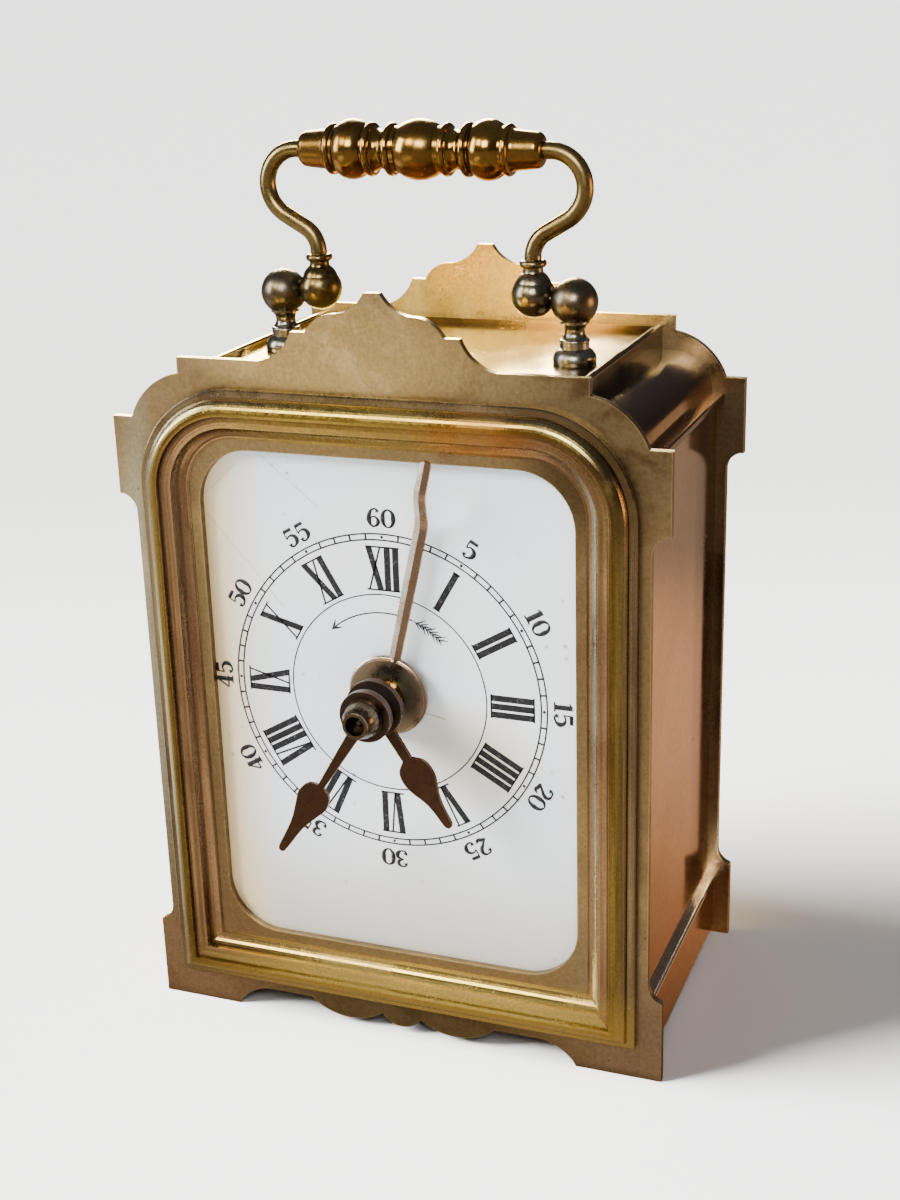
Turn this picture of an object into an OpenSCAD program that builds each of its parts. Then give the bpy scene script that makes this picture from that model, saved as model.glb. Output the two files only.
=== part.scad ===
// Officer's alarm clock: fretted front and back plates on a drawn brass case, a turned carrying
// handle on two posts, an open enamel dial with three hands, a hinged back door, and inside it
// a lever movement with a going barrel, an alarm barrel, a hammer and a bell.
// Millimetres. +Z is up, -Y is the dial side, the origin lies under the middle of the clock.

/* [Case plates] */
// Thickness of the front and the back plate
plate_t = 1.2; // [1:0.1:1.6]
// Case depth over both plates
case_depth = 47.4; // [47:0.2:54]
// Width over the ears
ear_w = 85; // [84:0.5:90]
// Width over the feet
foot_w = 84; // [82.5:0.5:88]
// Width of the plates between feet and ears
pillar_w = 79.6; // [78.6:0.2:80.6]
// Height of the feet
foot_h = 13.4; // [12:0.2:15]
// Height between the feet and the ears
pillar_h = 72.3; // [71:0.5:78]
// Height of the ears
ear_h = 12; // [11:0.2:13]
// Height of the round shoulders
shoulder_h = 6.9; // [6.2:0.1:7.4]
// Radius of the round shoulders
shoulder_r = 10.7; // [9.5:0.1:13]
// Half width of the raised top
step_x = 31.1; // [30.4:0.1:31.6]
// Height of the step above the shoulders
step_h = 2.4; // [1.8:0.1:3]
// Radius of the coves that ease the feet and the ears into the sides
cove_r = 2.9; // [2.5:0.1:3.2]

/* [Crest and apron] */
// Half width of the crest
crest_x = 12.45; // [11.5:0.1:13.5]
// Height of the crest's lower tier above the raised top
crest_h = 4.4; // [4:0.1:5]
// Radius of the hollow beside the crest
crest_cove_r = 6.7; // [6.2:0.1:7.2]
// Radius of the crest's round tier
crest_round_r = 4.9; // [4.6:0.1:5.4]
// Height of the round tier above the lower tier
crest_round_h = 2.75; // [2.4:0.05:3]
// Height of the peak above the round tier
peak_h = 3.1; // [2.6:0.1:3.4]
// Radius of the hollow beside the peak
peak_cove_r = 5.9; // [5.4:0.1:6.3]
// Height of the opening under the apron
apron_h = 3.7; // [3.2:0.1:4.2]
// Half width of the flat part of that opening
apron_x = 22.4; // [21:0.2:23]
// Radius of the opening's round ends
apron_end_r = 7.2; // [6.8:0.1:7.4]
// Radius of the apron's side lobes
lobe_r = 9.6; // [9:0.1:10.2]
// Distance of a side lobe from the middle
lobe_x = 9; // [8.6:0.1:9.4]
// Clear height under the side lobes
lobe_rise = 1.1; // [0.9:0.1:1.6]
// Radius of the middle lobe
mid_lobe_r = 3.8; // [3.5:0.1:4]

/* [Case body] */
// Thickness of the case sheet
sheet_t = 1; // [0.8:0.1:1.2]
// How far the sides lie inside the plates' edges
side_inset = 1.7; // [1.4:0.1:2.2]
// How far the raised top lies inside the plates' step
top_inset = 1.9; // [1.6:0.1:2.4]
// Depth of the tray's rim below the plates' raised top
rim_drop = 1.3; // [1:0.1:1.6]
// Depth of the tray below its rim
tray_depth = 1.1; // [0.9:0.1:1.4]
// Width of the tray's rim
rim_w = 1.2; // [1:0.1:1.4]
// Radius of the case's round shoulders
body_shoulder_r = 6.3; // [5.8:0.1:6.5]
// Projection of the cornice strip and of the plinth
strip_out = 1.15; // [0.9:0.05:1.4]
// Height of the cornice strip
cornice_h = 1.3; // [1:0.1:1.6]
// Distance of the cornice's upper face below the ears' upper face
cornice_drop = 2.4; // [2.2:0.1:2.8]
// Upper face of the plinth above the ground
plinth_top = 10.2; // [9.4:0.1:11]
// Lower edge of the plinth above the ground
plinth_low = 1.1; // [0.8:0.1:1.6]
// Base panel's underside above the ground
base_low = 4.6; // [4.4:0.1:5]

/* [Bezel] */
// Margin of the bezel inside the plate's sides
bezel_side = 1.7; // [1.5:0.1:2]
// Margin of the bezel below the raised top
bezel_head = 4.2; // [4:0.1:4.6]
// Lower edge of the bezel above the ground
bezel_foot = 5.5; // [5:0.1:6]
// Width of the bezel moulding
bezel_w = 7.5; // [7.4:0.1:8]
// Outer radius of the bezel's upper corners
bezel_r = 15.5; // [14.5:0.5:17]
// Width of the flat rim round the dial opening
sight_rim = 1.6; // [1.4:0.1:2]
// Corner radius of the dial opening
sight_r = 8.5; // [8:0.1:9]

/* [Dial and hands] */
// Thickness of the enamel dial
dial_t = 1; // [0.8:0.1:1.2]
// Overlap of the dial behind the plate
dial_lap = 2; // [1.6:0.1:2.2]
// Height of the hands' centre above the middle of the dial opening
dial_rise = 3.75; // [3.2:0.05:4.2]
// Radius of the alarm hand's disc
disc_r = 6.25; // [6:0.05:6.6]
// Reach of the alarm hand
alarm_reach = 38.2; // [37.6:0.1:38.8]
// Radius at which the alarm hand cranks forward
crank_start = 27.6; // [27:0.1:28]
// Radius at which the crank ends
crank_end = 32.9; // [32.4:0.1:33.2]
// How far the crank brings the alarm hand forward
crank_rise = 3.6; // [3.5:0.1:4.2]
// Direction of the alarm hand, clockwise from upright
alarm_dir = 13.3; // [0:0.1:359.9]
// Radius of the hour hand's boss
hour_boss_r = 4.35; // [4:0.05:4.6]
// Length of the hour hand
hour_reach = 20.95; // [19.5:0.05:21.5]
// Direction of the hour hand, clockwise from upright
hour_dir = 147.5; // [0:0.1:359.9]
// Radius of the minute hand's boss
minute_boss_r = 3.9; // [3.6:0.05:4.2]
// Length of the minute hand
minute_reach = 28.1; // [26.5:0.1:28.5]
// Direction of the minute hand, clockwise from upright
minute_dir = 212.3; // [0:0.1:359.9]
// Reach of the hub in front of the front plate
nose_reach = 12.3; // [11.8:0.1:13]

/* [Handle] */
// Distance of the handle's axis behind the front plate's face
handle_y = 19.9; // [19:0.1:21]
// Height of the handle's axis above the tray
pivot_h = 9.1; // [8.8:0.1:9.6]
// Height of the grip's axis above the handle's axis
grip_h = 20.8; // [20.4:0.1:22]
// Distance of a post from the middle
post_x = 22.95; // [22.8:0.05:23.4]
// Radius of a post's ball
post_ball_r = 3.45; // [3.2:0.05:3.5]
// Distance of an arm's ball from the middle
arm_x = 16.8; // [16.6:0.05:17]
// Radius of an arm's ball
arm_ball_r = 3.2; // [3:0.05:3.3]
// Radius of an arm's wire
wire_r = 1.22; // [1.1:0.02:1.3]
// Radius of an arm's outer bow
bow_r = 5.1; // [4.9:0.05:5.3]
// Distance of the bow's centre from the middle
bow_x = 19.5; // [19.3:0.05:19.7]
// Radius of an arm's return curve
return_r = 4.2; // [4:0.05:4.4]
// Radius of the pivot pins
pin_r = 0.9; // [0.8:0.05:1]
// Half length of the grip
grip_half = 18.7; // [18.4:0.1:19]
// Radius of the grip's beads
bead_r = 4.2; // [4:0.05:4.3]

/* [Back door] */
// Width of the door
door_w = 60; // [58:0.5:61]
// Height of the door
door_h = 76; // [74:0.5:77]
// Gap round the door
door_gap = 0.3; // [0.25:0.05:0.4]
// Radius of the hinge knuckles
knuckle_r = 1.3; // [1.2:0.05:1.4]
// Radius of the hinge pin
hinge_pin_r = 0.6; // [0.5:0.05:0.7]
// Reach of the door knob behind the door
knob_reach = 4; // [3.5:0.1:4.5]

/* [Movement] */
// Width of the movement plates
movement_w = 56; // [56:0.5:58]
// Thickness of the movement plates
movement_t = 1.5; // [1.3:0.1:1.7]
// Distance of the movement behind the dial
dial_room = 4.3; // [4.3:0.1:4.6]
// Distance between the movement plates
pillar_len = 22; // [22:0.1:22.6]
// Radius of the movement pillars
pillar_r = 2; // [1.8:0.1:2]
// Radius of the going barrel
barrel_r = 12.5; // [12:0.1:12.6]
// Radius of the alarm barrel
alarm_barrel_r = 10; // [9.6:0.1:10.1]
// Radius of the train's arbors
arbor_r = 0.7; // [0.6:0.05:0.8]
// Width of a winding square
square_w = 2.4; // [2.2:0.1:2.5]
// Radius of the balance wheel
balance_r = 7.5; // [7:0.1:7.6]
// Radius of the bell
bell_r = 17; // [16.5:0.1:17.2]
// Running clearance of arbors and pipes
fit = 0.05; // [0.03:0.01:0.08]

/* [Hidden] */
$fn = 64;
eps = 0.01;

// Levels of the case, from the ground up
ear_z = foot_h + pillar_h;
ear_top = ear_z + ear_h;
shoulder_top = ear_top + shoulder_h;
top_z = shoulder_top + step_h;
crest_z = top_z + crest_h;
ear_x = ear_w / 2;
foot_x = foot_w / 2;
pillar_x = pillar_w / 2;
shoulder_x = pillar_x - 0.5;

// Centre of a circle that passes p and q and bulges away from the lower left
function arc_mid(p, q, r) = let (h = norm(q - p) / 2, d = sqrt(r * r - h * h))
    [(p[0] + q[0]) / 2 - d * (q[1] - p[1]) / (2 * h), (p[1] + q[1]) / 2 + d * (q[0] - p[0]) / (2 * h)];
shoulder_mid = arc_mid([shoulder_x, ear_top], [step_x, shoulder_top], shoulder_r);

// Places along the depth, measured behind the front plate's face
back_y = case_depth - plate_t;
dial_y = plate_t;
work_y = dial_y + dial_t;
front_mp = work_y + dial_room;
mid_y = front_mp + movement_t;
back_mp = mid_y + pillar_len;
rear_y = back_mp + movement_t;
y_shift = -(case_depth + knob_reach - nose_reach) / 2;

// Case body
body_x = pillar_x - side_inset;
body_in = body_x - sheet_t;
rim_z = top_z - rim_drop;
tray_z = rim_z - tray_depth;
tray_x = step_x - top_inset;
cornice_z = ear_top - cornice_drop;
shoulder_cx = body_x - body_shoulder_r - 0.8;

// Dial opening and the hands' centre
bezel_x = pillar_x - bezel_side;
bezel_top = top_z - bezel_head;
sight_x = bezel_x - bezel_w - sight_rim;
sight_top = bezel_top - bezel_w - sight_rim;
sight_low = bezel_foot + bezel_w + sight_rim;
centre_z = (sight_top + sight_low) / 2 + dial_rise;

// Feet of the dial, as [x, z] from the hands' centre
dial_feet = [[-20, 25], [20, 25], [0, -32]];
dial_foot_r = 0.6;

// Nested pipes of the hands
cannon_bore = arbor_r + fit;
cannon_r = 1.35;
hour_bore = cannon_r + fit;
hour_pipe_r = 2.05;
alarm_bore = hour_pipe_r + fit;
alarm_pipe_r = 2.75;
dial_hole_r = alarm_pipe_r + 0.35;

// Levels of the hands in front of the front plate
disc_front = -0.7;
hour_front = -5.5;
minute_front = -8.8;
blade_t = 0.5;

// Levels of the motion work behind the dial
alarm_wheel_y = work_y + 0.4;
hour_wheel_y = work_y + 1.5;
minute_wheel_y = work_y + 3;
motion_t = 0.7;

// Tooth counts and modules of the trains
great_n = 60;
centre_pinion_n = 10;
great_m = 0.48;
centre_n = 60;
third_pinion_n = 8;
centre_m = 0.35;
third_n = 64;
fourth_pinion_n = 8;
third_m = 0.3;
fourth_n = 60;
escape_pinion_n = 6;
fourth_m = 0.28;
escape_n = 15;
escape_r = 5;
cannon_n = 12;
minute_n = 36;
cannon_m = 0.35;
minute_pinion_n = 10;
hour_n = 40;
hour_m = cannon_m * (cannon_n + minute_n) / (minute_pinion_n + hour_n);
alarm_n = 60;
strike_pinion_n = 8;
alarm_m = 0.38;
strike_n = 16;
strike_r = 4.5;

// Arbor places as [x, z] and the direction of each mesh
function polar(from, d, a) = [from[0] + d * cos(a), from[1] + d * sin(a)];
function spread(m, n1, n2) = m * (n1 + n2) / 2;
centre_at = [0, centre_z];
barrel_dir = 226.8;
third_dir = 40;
fourth_dir = 147;
escape_dir = 160;
balance_dir = 230;
minute_dir_stud = -60;
strike_dir = 60;
barrel_at = polar(centre_at, spread(great_m, great_n, centre_pinion_n), barrel_dir);
third_at = polar(centre_at, spread(centre_m, centre_n, third_pinion_n), third_dir);
fourth_at = polar(third_at, spread(third_m, third_n, fourth_pinion_n), fourth_dir);
escape_at = polar(fourth_at, spread(fourth_m, fourth_n, escape_pinion_n), escape_dir);
pallet_at = polar(escape_at, 6.2, balance_dir);
balance_at = polar(pallet_at, 9, balance_dir);
minute_at = polar(centre_at, spread(cannon_m, cannon_n, minute_n), minute_dir_stud);
alarm_at = [13, centre_z - 24.6];
strike_at = polar(alarm_at, spread(alarm_m, alarm_n, strike_pinion_n), strike_dir);
hammer_at = [25, centre_z - 7.6];

// Tooth phases that keep each pair in mesh
function mate(dir, n1, phase1, n2) = dir + 180 - 360 / n2 * (0.5 - (dir - phase1) * n1 / 360);
great_phase = 0;
centre_pinion_phase = mate(barrel_dir + 180, great_n, great_phase, centre_pinion_n);
centre_phase = 0;
third_pinion_phase = mate(third_dir, centre_n, centre_phase, third_pinion_n);
third_phase = 0;
fourth_pinion_phase = mate(fourth_dir, third_n, third_phase, fourth_pinion_n);
fourth_phase = 0;
escape_pinion_phase = mate(escape_dir, fourth_n, fourth_phase, escape_pinion_n);
escape_phase = balance_dir;
cannon_phase = 0;
minute_phase = mate(minute_dir_stud, cannon_n, cannon_phase, minute_n);
hour_phase = 0;
minute_pinion_phase = mate(minute_dir_stud, hour_n, hour_phase, minute_pinion_n);
alarm_phase = 0;
strike_pinion_phase = mate(strike_dir, alarm_n, alarm_phase, strike_pinion_n);

// Levels inside the movement
great_y = mid_y + 1;
great_t = 1.2;
drum_y = great_y + great_t;
drum_len = 10.8;
drum_end = drum_y + drum_len;
third_wheel_y = mid_y + 13.5;
escape_y = mid_y + 16;
centre_wheel_y = mid_y + 17;
fourth_wheel_y = mid_y + 19.5;
wheel_t = 0.8;
strike_y = mid_y + 15;
hammer_y = mid_y + 16.4;
balance_y = rear_y + 2;
hairspring_y = balance_y + 1.5;
cock_y = rear_y + 4.6;
ratchet_y = rear_y + 0.3;
ratchet_t = 1;
square_end = rear_y + 9.5;

// Winding arbors, clicks and the balance cock's foot
barrel_arbor_r = 1.9;
staff_r = arbor_r * 0.6;
drum_wall = 0.8;
cap_t = 0.9;
cock_dir = 62;
cock_foot_r = 2.6;
cock_len = balance_r + cock_foot_r + 0.9;
click_lean = 45;
click_stud_r = 0.7;
ratchet_r = 5.2;
click_reach = ratchet_r + 3.4;
click_at = polar(barrel_at, click_reach, -20);
alarm_click_at = polar(alarm_at, click_reach, -20);
cock_foot_at = polar(balance_at, cock_len, cock_dir);

// Movement plate outline and its fixing points
movement_low = centre_z - 37.6;
movement_high = centre_z + 31.4;
pillar_at_x = 25;
pillar_low = movement_low + 3;
pillar_high = movement_high - 3;
strap_h = 7;
mount_x = body_in - 2.5;
mount_low = movement_low + strap_h / 2;
mount_high = movement_high - strap_h / 2;
mount_r = 1.9;
screw_head_r = 1.8;
screw_head_t = 1.1;
screw_r = 0.9;

// Handle
axis_z = tray_z + pivot_h;
grip_z = axis_z + grip_h;
joint_plane = (post_x - post_ball_r + arm_x + arm_ball_r) / 2;
cheek_gap = 0.1;
bow_z = grip_z - bow_r;
bow_end = 60;
stem_len = (bow_x + bow_r * cos(bow_end) - arm_x - return_r * (1 - cos(bow_end))) / sin(bow_end);
return_z = bow_z - bow_r * sin(bow_end) - stem_len * cos(bow_end) - return_r * sin(bow_end);
tenon_len = 3;
stem_r = wire_r + 0.03;
wire_lap = 0.3;

// Back door
door_low = (sight_top + sight_low - door_h) / 2;
hinge_x = -(door_w / 2 + door_gap + 0.2);
hinge_y = case_depth + knuckle_r + 0.1;
knuckle_n = 5;
knuckle_pitch = 6;
knuckle_gap = 0.15;
hinge_len = knuckle_n * knuckle_pitch;
hinge_low = door_low + (door_h - hinge_len) / 2;
knob_x = door_w / 2 - 4;
knob_shank_r = 0.8;

// Bell
bell_y = (mid_y + back_mp) / 2 + 4;
bell_rim_z = base_low + sheet_t + 1.2;
bell_h = 10.5;
bell_t = 0.9;
dome_r = (bell_r * bell_r + bell_h * bell_h) / (2 * bell_h);

// Places a shape in the case, with y measured behind the front plate's face
module in_case() {
    translate([0, y_shift, 0]) children();
}

// Extrudes a drawing in x and z from y over a thickness
module slab(y, t) {
    translate([0, y + t, 0]) rotate([90, 0, 0]) linear_extrude(t) children();
}

// A round bar along y at a place in x and z
module bar_y(at, r, y0, y1) {
    translate([at[0], y0, at[1]]) rotate([-90, 0, 0]) cylinder(r = r, h = y1 - y0);
}

// A square bar along y
module square_bar(at, w, y0, y1) {
    slab(y0, y1 - y0) translate(at) square(w, center = true);
}

module mirrored_x() {
    children();
    mirror([1, 0, 0]) children();
}

module mirrored_2d() {
    children();
    mirror([1, 0]) children();
}

function arc(cx, cy, r, a0, a1, n) =
    [for (i = [0 : n]) [cx + r * cos(a0 + (a1 - a0) * i / n), cy + r * sin(a0 + (a1 - a0) * i / n)]];

// A wheel's outline: straight-flanked teeth with room to run
module gear(n, m, phase, add = 0.75, ded = 1.3, share = 0.2) {
    r = n * m / 2;
    pitch = 360 / n;
    polygon([for (i = [0 : n - 1], c = [[-0.29, -ded], [-share * 0.55, add], [share * 0.55, add], [0.29, -ded]])
        let (a = phase + pitch * (i + c[0]), q = r + m * c[1]) [q * cos(a), q * sin(a)]]);
}

// A pinion's outline: slimmer leaves with deeper gaps
module pinion(n, m, phase) {
    gear(n, m, phase, 0.65, 1.15, 0.26);
}

// A wheel crossed out into arms
module crossed_wheel(r_out, r_hub, arms) {
    corner = 2 * r_out * [cos(180 / arms), sin(180 / arms)] - [0, 1.2];
    difference() {
        circle(r_out);
        for (i = [0 : arms - 1]) rotate(i * 360 / arms + 180 / arms)
            intersection() {
                difference() {
                    circle(r_out - 1.1);
                    circle(r_hub);
                }
                polygon([[0, 0], corner, [2 * r_out, 0], [corner[0], -corner[1]]]);
            }
    }
}

// Saw teeth leaning one way
module saw(n, r, depth, phase) {
    polygon([for (i = [0 : n - 1], c = [[0, 0], [0.12, 0], [0.75, 1]])
        let (a = phase + 360 / n * (i + c[0]), q = r - depth * c[1]) [q * cos(a), q * sin(a)]]);
}

// A flat spiral band between two radii
module spiral(r0, r1, turns, w, steps = 18) {
    n = turns * steps;
    function ring(off) = [for (i = [0 : n]) let (q = r0 + (r1 - r0) * i / n + off, a = i * 360 / steps)
        [q * cos(a), q * sin(a)]];
    inner = ring(-w / 2);
    outer = ring(w / 2);
    polygon(concat(inner, [for (i = [n : -1 : 0]) outer[i]]));
}

// The fretted outline that the front and the back plate share
module plate_outline() {
    difference() {
        union() {
            translate([-pillar_x, 0]) square([2 * pillar_x, ear_top]);
            translate([-foot_x, 0]) square([2 * foot_x, foot_h]);
            translate([-ear_x, ear_z]) square([2 * ear_x, ear_h]);
            mirrored_2d() ease(foot_x, foot_h, 1);
            mirrored_2d() ease(ear_x, ear_z, -1);
            translate([-step_x, ear_top]) square([2 * step_x, top_z - ear_top]);
            mirrored_2d() intersection() {
                translate(shoulder_mid) circle(shoulder_r);
                translate([step_x - 1, ear_top - 1]) square([shoulder_x - step_x + 1, shoulder_h + 1]);
            }
            crest();
        }
        apron_opening();
    }
}

// A hollow quarter that eases an ear or a foot into the plate's side
module ease(x, z, up) {
    out = x - pillar_x;
    difference() {
        translate([pillar_x - 1, up > 0 ? z - 1 : z - cove_r + 0.1]) square([out + 1, cove_r + 0.9]);
        translate([pillar_x + cove_r, z + up * (cove_r - 0.1)]) circle(cove_r);
    }
}

// The crest: a lower tier with hollow sides, a round tier and a peak with hollow sides
module crest() {
    cove_x = crest_x + crest_cove_r - 0.15;
    round_x = peak_cove_r + 0.1;
    difference() {
        translate([-cove_x, top_z - 1]) square([2 * cove_x, crest_h + 1]);
        mirrored_2d() translate([cove_x, top_z + crest_cove_r - 0.1]) circle(crest_cove_r);
    }
    mirrored_2d() intersection() {
        translate([round_x, crest_z + crest_round_h - crest_round_r]) circle(crest_round_r);
        translate([0, top_z]) square([crest_x, crest_h + crest_round_h + 1]);
    }
    difference() {
        translate([-round_x, top_z]) square([2 * round_x, crest_h + crest_round_h + peak_h]);
        mirrored_2d() translate([round_x + 0.4, crest_z + crest_round_h + peak_cove_r - 0.05]) circle(peak_cove_r);
    }
}

// The scalloped gap under the plate, between the feet
module apron_opening() {
    difference() {
        union() {
            translate([-apron_x, -1]) square([2 * apron_x, apron_h + 1]);
            mirrored_2d() translate([apron_x, apron_h - apron_end_r]) circle(apron_end_r);
        }
        mirrored_2d() translate([lobe_x, lobe_rise + lobe_r]) circle(lobe_r);
        translate([0, lobe_rise + 0.1 + mid_lobe_r]) circle(mid_lobe_r);
    }
}

// A rounded rectangle standing in x and z
module sight(x, low, high, r) {
    difference() {
        translate([-x, low]) square([2 * x, high - low]);
        for (sx = [-1, 1], end = [[low, 1], [high, -1]])
            translate([sx * x, end[0]]) scale([sx, end[1]]) difference() {
                translate([-r, 0]) square([r + 1, r]);
                translate([-r, r]) circle(r);
                translate([-2 * r, -1]) square([r, 2 * r]);
            }
    }
}

module front_plate() color([0.60, 0.53, 0.40]) in_case() {
    slab(0, plate_t) difference() {
        plate_outline();
        sight(sight_x, sight_low, sight_top, sight_r);
    }
}

// Section of the bezel moulding: x runs inward from its outer edge, y forward.
// An outer fillet, a bead, two narrow bands and a wide cove down to the plate
bezel_section = concat([[0, 0], [0, 1], [0.2, 1.2], [1.12, 1.25]], arc(3.1, 1, 2, 172, 78, 9),
    [[3.7, 2.3], [4.5, 2.1], [5.4, 2]], arc(7.45, 2.15, 2.05, 190, 270, 7), [[bezel_w, 0.1], [bezel_w, 0]]);

// One straight run of the moulding along x, with its outer edge down and its face to -y
module bezel_run(len) {
    rotate([90, 0, 90]) translate([0, 0, -len / 2]) linear_extrude(len)
        polygon([for (p = bezel_section) [-p[1], p[0]]]);
}

module bezel_corner() {
    rotate([90, 0, 0]) rotate_extrude(angle = 90)
        polygon([for (p = bezel_section) [bezel_r - p[0], p[1]]]);
}

module dial_bezel() color([0.66, 0.55, 0.33]) in_case() {
    straight_x = bezel_x - bezel_r;
    straight_z = bezel_top - bezel_r;
    run_low = bezel_foot - 1;
    reach = bezel_w + 1;
    intersection() {
        translate([0, 0, bezel_foot]) bezel_run(2 * bezel_x + 2);
        slab(-4, 5) polygon([[-bezel_x - 1, bezel_foot - 1], [bezel_x + 1, bezel_foot - 1],
            [bezel_x - reach, bezel_foot + reach], [reach - bezel_x, bezel_foot + reach]]);
    }
    mirrored_x() intersection() {
        translate([bezel_x, 0, (run_low + straight_z) / 2]) rotate([0, -90, 0]) bezel_run(straight_z - run_low);
        slab(-4, 5) polygon([[bezel_x + 1, bezel_foot - 1], [bezel_x + 1, straight_z + 1],
            [bezel_x - reach, straight_z + 1], [bezel_x - reach, bezel_foot + reach]]);
    }
    mirrored_x() translate([straight_x, 0, straight_z]) bezel_corner();
    translate([0, 0, bezel_top]) rotate([0, 180, 0]) bezel_run(2 * straight_x);
}

module back_plate() color([0.55, 0.50, 0.38]) in_case() {
    slab(back_y, plate_t) difference() {
        plate_outline();
        translate([-door_w / 2 - door_gap, door_low - door_gap])
            square([door_w + 2 * door_gap, door_h + 2 * door_gap]);
    }
    for (i = [0 : 2 : knuckle_n - 1]) knuckle(i, -1);
}

// One hinge knuckle with its leaf: side -1 belongs to the back plate, 1 to the door
module knuckle(i, side) {
    low = hinge_low + i * knuckle_pitch + knuckle_gap / 2;
    h = knuckle_pitch - knuckle_gap;
    leaf = 2.6;
    difference() {
        union() {
            translate([hinge_x, hinge_y, low]) cylinder(r = knuckle_r, h = h);
            translate([side > 0 ? hinge_x : hinge_x - leaf, case_depth + 0.1, low]) cube([leaf, 0.8, h]);
            translate([side > 0 ? -door_w / 2 : hinge_x - leaf, case_depth - eps, low]) cube([leaf - 0.6, 0.2, h]);
        }
        translate([hinge_x, hinge_y, low - 1]) cylinder(r = hinge_pin_r + (side > 0 ? fit : 0), h = h + 2);
    }
}

module hinge_pin() color([0.45, 0.42, 0.38]) in_case() {
    translate([hinge_x, hinge_y, hinge_low]) cylinder(r = hinge_pin_r, h = hinge_len);
}

module back_door() color([0.58, 0.50, 0.36]) in_case() {
    difference() {
        union() {
            slab(back_y, plate_t) translate([-door_w / 2, door_low]) square([door_w, door_h]);
            for (i = [1 : 2 : knuckle_n - 1]) knuckle(i, 1);
        }
        bar_y([knob_x, door_low + door_h / 2], knob_shank_r, back_y - 1, case_depth + 1);
    }
}

module door_knob() color([0.70, 0.58, 0.36]) in_case() {
    translate([knob_x, 0, door_low + door_h / 2]) rotate([-90, 0, 0]) {
        translate([0, 0, back_y - 0.6]) cylinder(r = 1.5, h = 0.6);
        translate([0, 0, back_y - eps]) cylinder(r = knob_shank_r, h = plate_t + 2 * eps);
        translate([0, 0, case_depth]) rotate_extrude() union() {
            square([1.9, 0.7]);
            square([1.1, knob_reach - 2]);
            intersection() {
                translate([0, knob_reach - 1.8]) circle(1.8);
                translate([0, 0.3]) square([4, knob_reach - 0.3]);
            }
        }
    }
}

// Right-hand case wall with its plinth
module side_section() {
    translate([body_in, plinth_low]) square([sheet_t, cornice_z - cornice_h - plinth_low]);
    translate([body_x - eps, plinth_low]) square([strip_out + eps, plinth_top - plinth_low - 0.5]);
    translate([body_x - eps, plinth_top - 0.6]) square([strip_out - 0.5, 0.6]);
    translate([body_x + strip_out - 0.5, plinth_top - 0.5]) circle(0.5);
}

module side_panel() {
    slab(plate_t, back_y - plate_t) side_section();
}

module right_side_panel() color([0.72, 0.50, 0.38]) in_case() side_panel();
module left_side_panel() color([0.72, 0.50, 0.38]) in_case() mirror([1, 0, 0]) side_panel();

// Round shoulder with the cornice strip at its foot
module shoulder_section() {
    translate([body_in, cornice_z - cornice_h]) square([sheet_t + strip_out - 0.4, cornice_h]);
    translate([body_x + strip_out - 0.4, cornice_z - cornice_h + 0.4]) square([0.4, cornice_h - 0.8]);
    for (s = [0.4, cornice_h - 0.4]) translate([body_x + strip_out - 0.4, cornice_z - cornice_h + s]) circle(0.4);
    intersection() {
        difference() {
            translate([shoulder_cx, cornice_z]) circle(body_shoulder_r);
            translate([shoulder_cx, cornice_z]) circle(body_shoulder_r - sheet_t);
        }
        translate([shoulder_cx, cornice_z - eps]) square(body_shoulder_r + 1);
    }
    translate([tray_x, cornice_z + body_shoulder_r - sheet_t]) square([shoulder_cx - tray_x + eps, sheet_t]);
}

module shoulder() {
    slab(plate_t, back_y - plate_t) shoulder_section();
}

module right_shoulder() color([0.35, 0.28, 0.22]) in_case() shoulder();
module left_shoulder() color([0.35, 0.28, 0.22]) in_case() mirror([1, 0, 0]) shoulder();

module top_panel() color([0.66, 0.52, 0.34]) in_case() {
    wall_low = cornice_z + body_shoulder_r - sheet_t;
    round_r = rim_w / 2;
    difference() {
        union() {
            slab(plate_t, back_y - plate_t) {
                translate([-tray_x, tray_z - sheet_t]) square([2 * tray_x, sheet_t]);
                mirrored_2d() translate([tray_x - rim_w, wall_low]) square([rim_w, rim_z - round_r - wall_low]);
                mirrored_2d() translate([tray_x - round_r, rim_z - round_r]) circle(round_r);
            }
            for (y = [plate_t, back_y - rim_w]) translate([-tray_x + round_r, y, tray_z - eps])
                cube([2 * (tray_x - round_r), rim_w, rim_z - tray_z - 0.2]);
        }
        mirrored_x() translate([post_x, handle_y, tray_z - sheet_t - 1]) cylinder(r = 1 + fit, h = sheet_t + 2);
    }
}

module base_panel() color([0.45, 0.38, 0.28]) in_case() {
    difference() {
        translate([-body_in, plate_t, base_low]) cube([2 * body_in, back_y - plate_t, sheet_t]);
        translate([0, bell_y, base_low - 1]) cylinder(r = 1.5, h = sheet_t + 2);
    }
}

module dial() color([0.90, 0.90, 0.87]) in_case() {
    difference() {
        slab(dial_y, dial_t) translate([-sight_x - dial_lap, sight_low - dial_lap])
            square([2 * (sight_x + dial_lap), sight_top - sight_low + 2 * dial_lap]);
        bar_y(centre_at, dial_hole_r, dial_y - 1, work_y + 1);
    }
    for (at = dial_feet) bar_y([at[0], centre_z + at[1]], dial_foot_r, work_y - eps, mid_y + 0.8);
}

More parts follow.
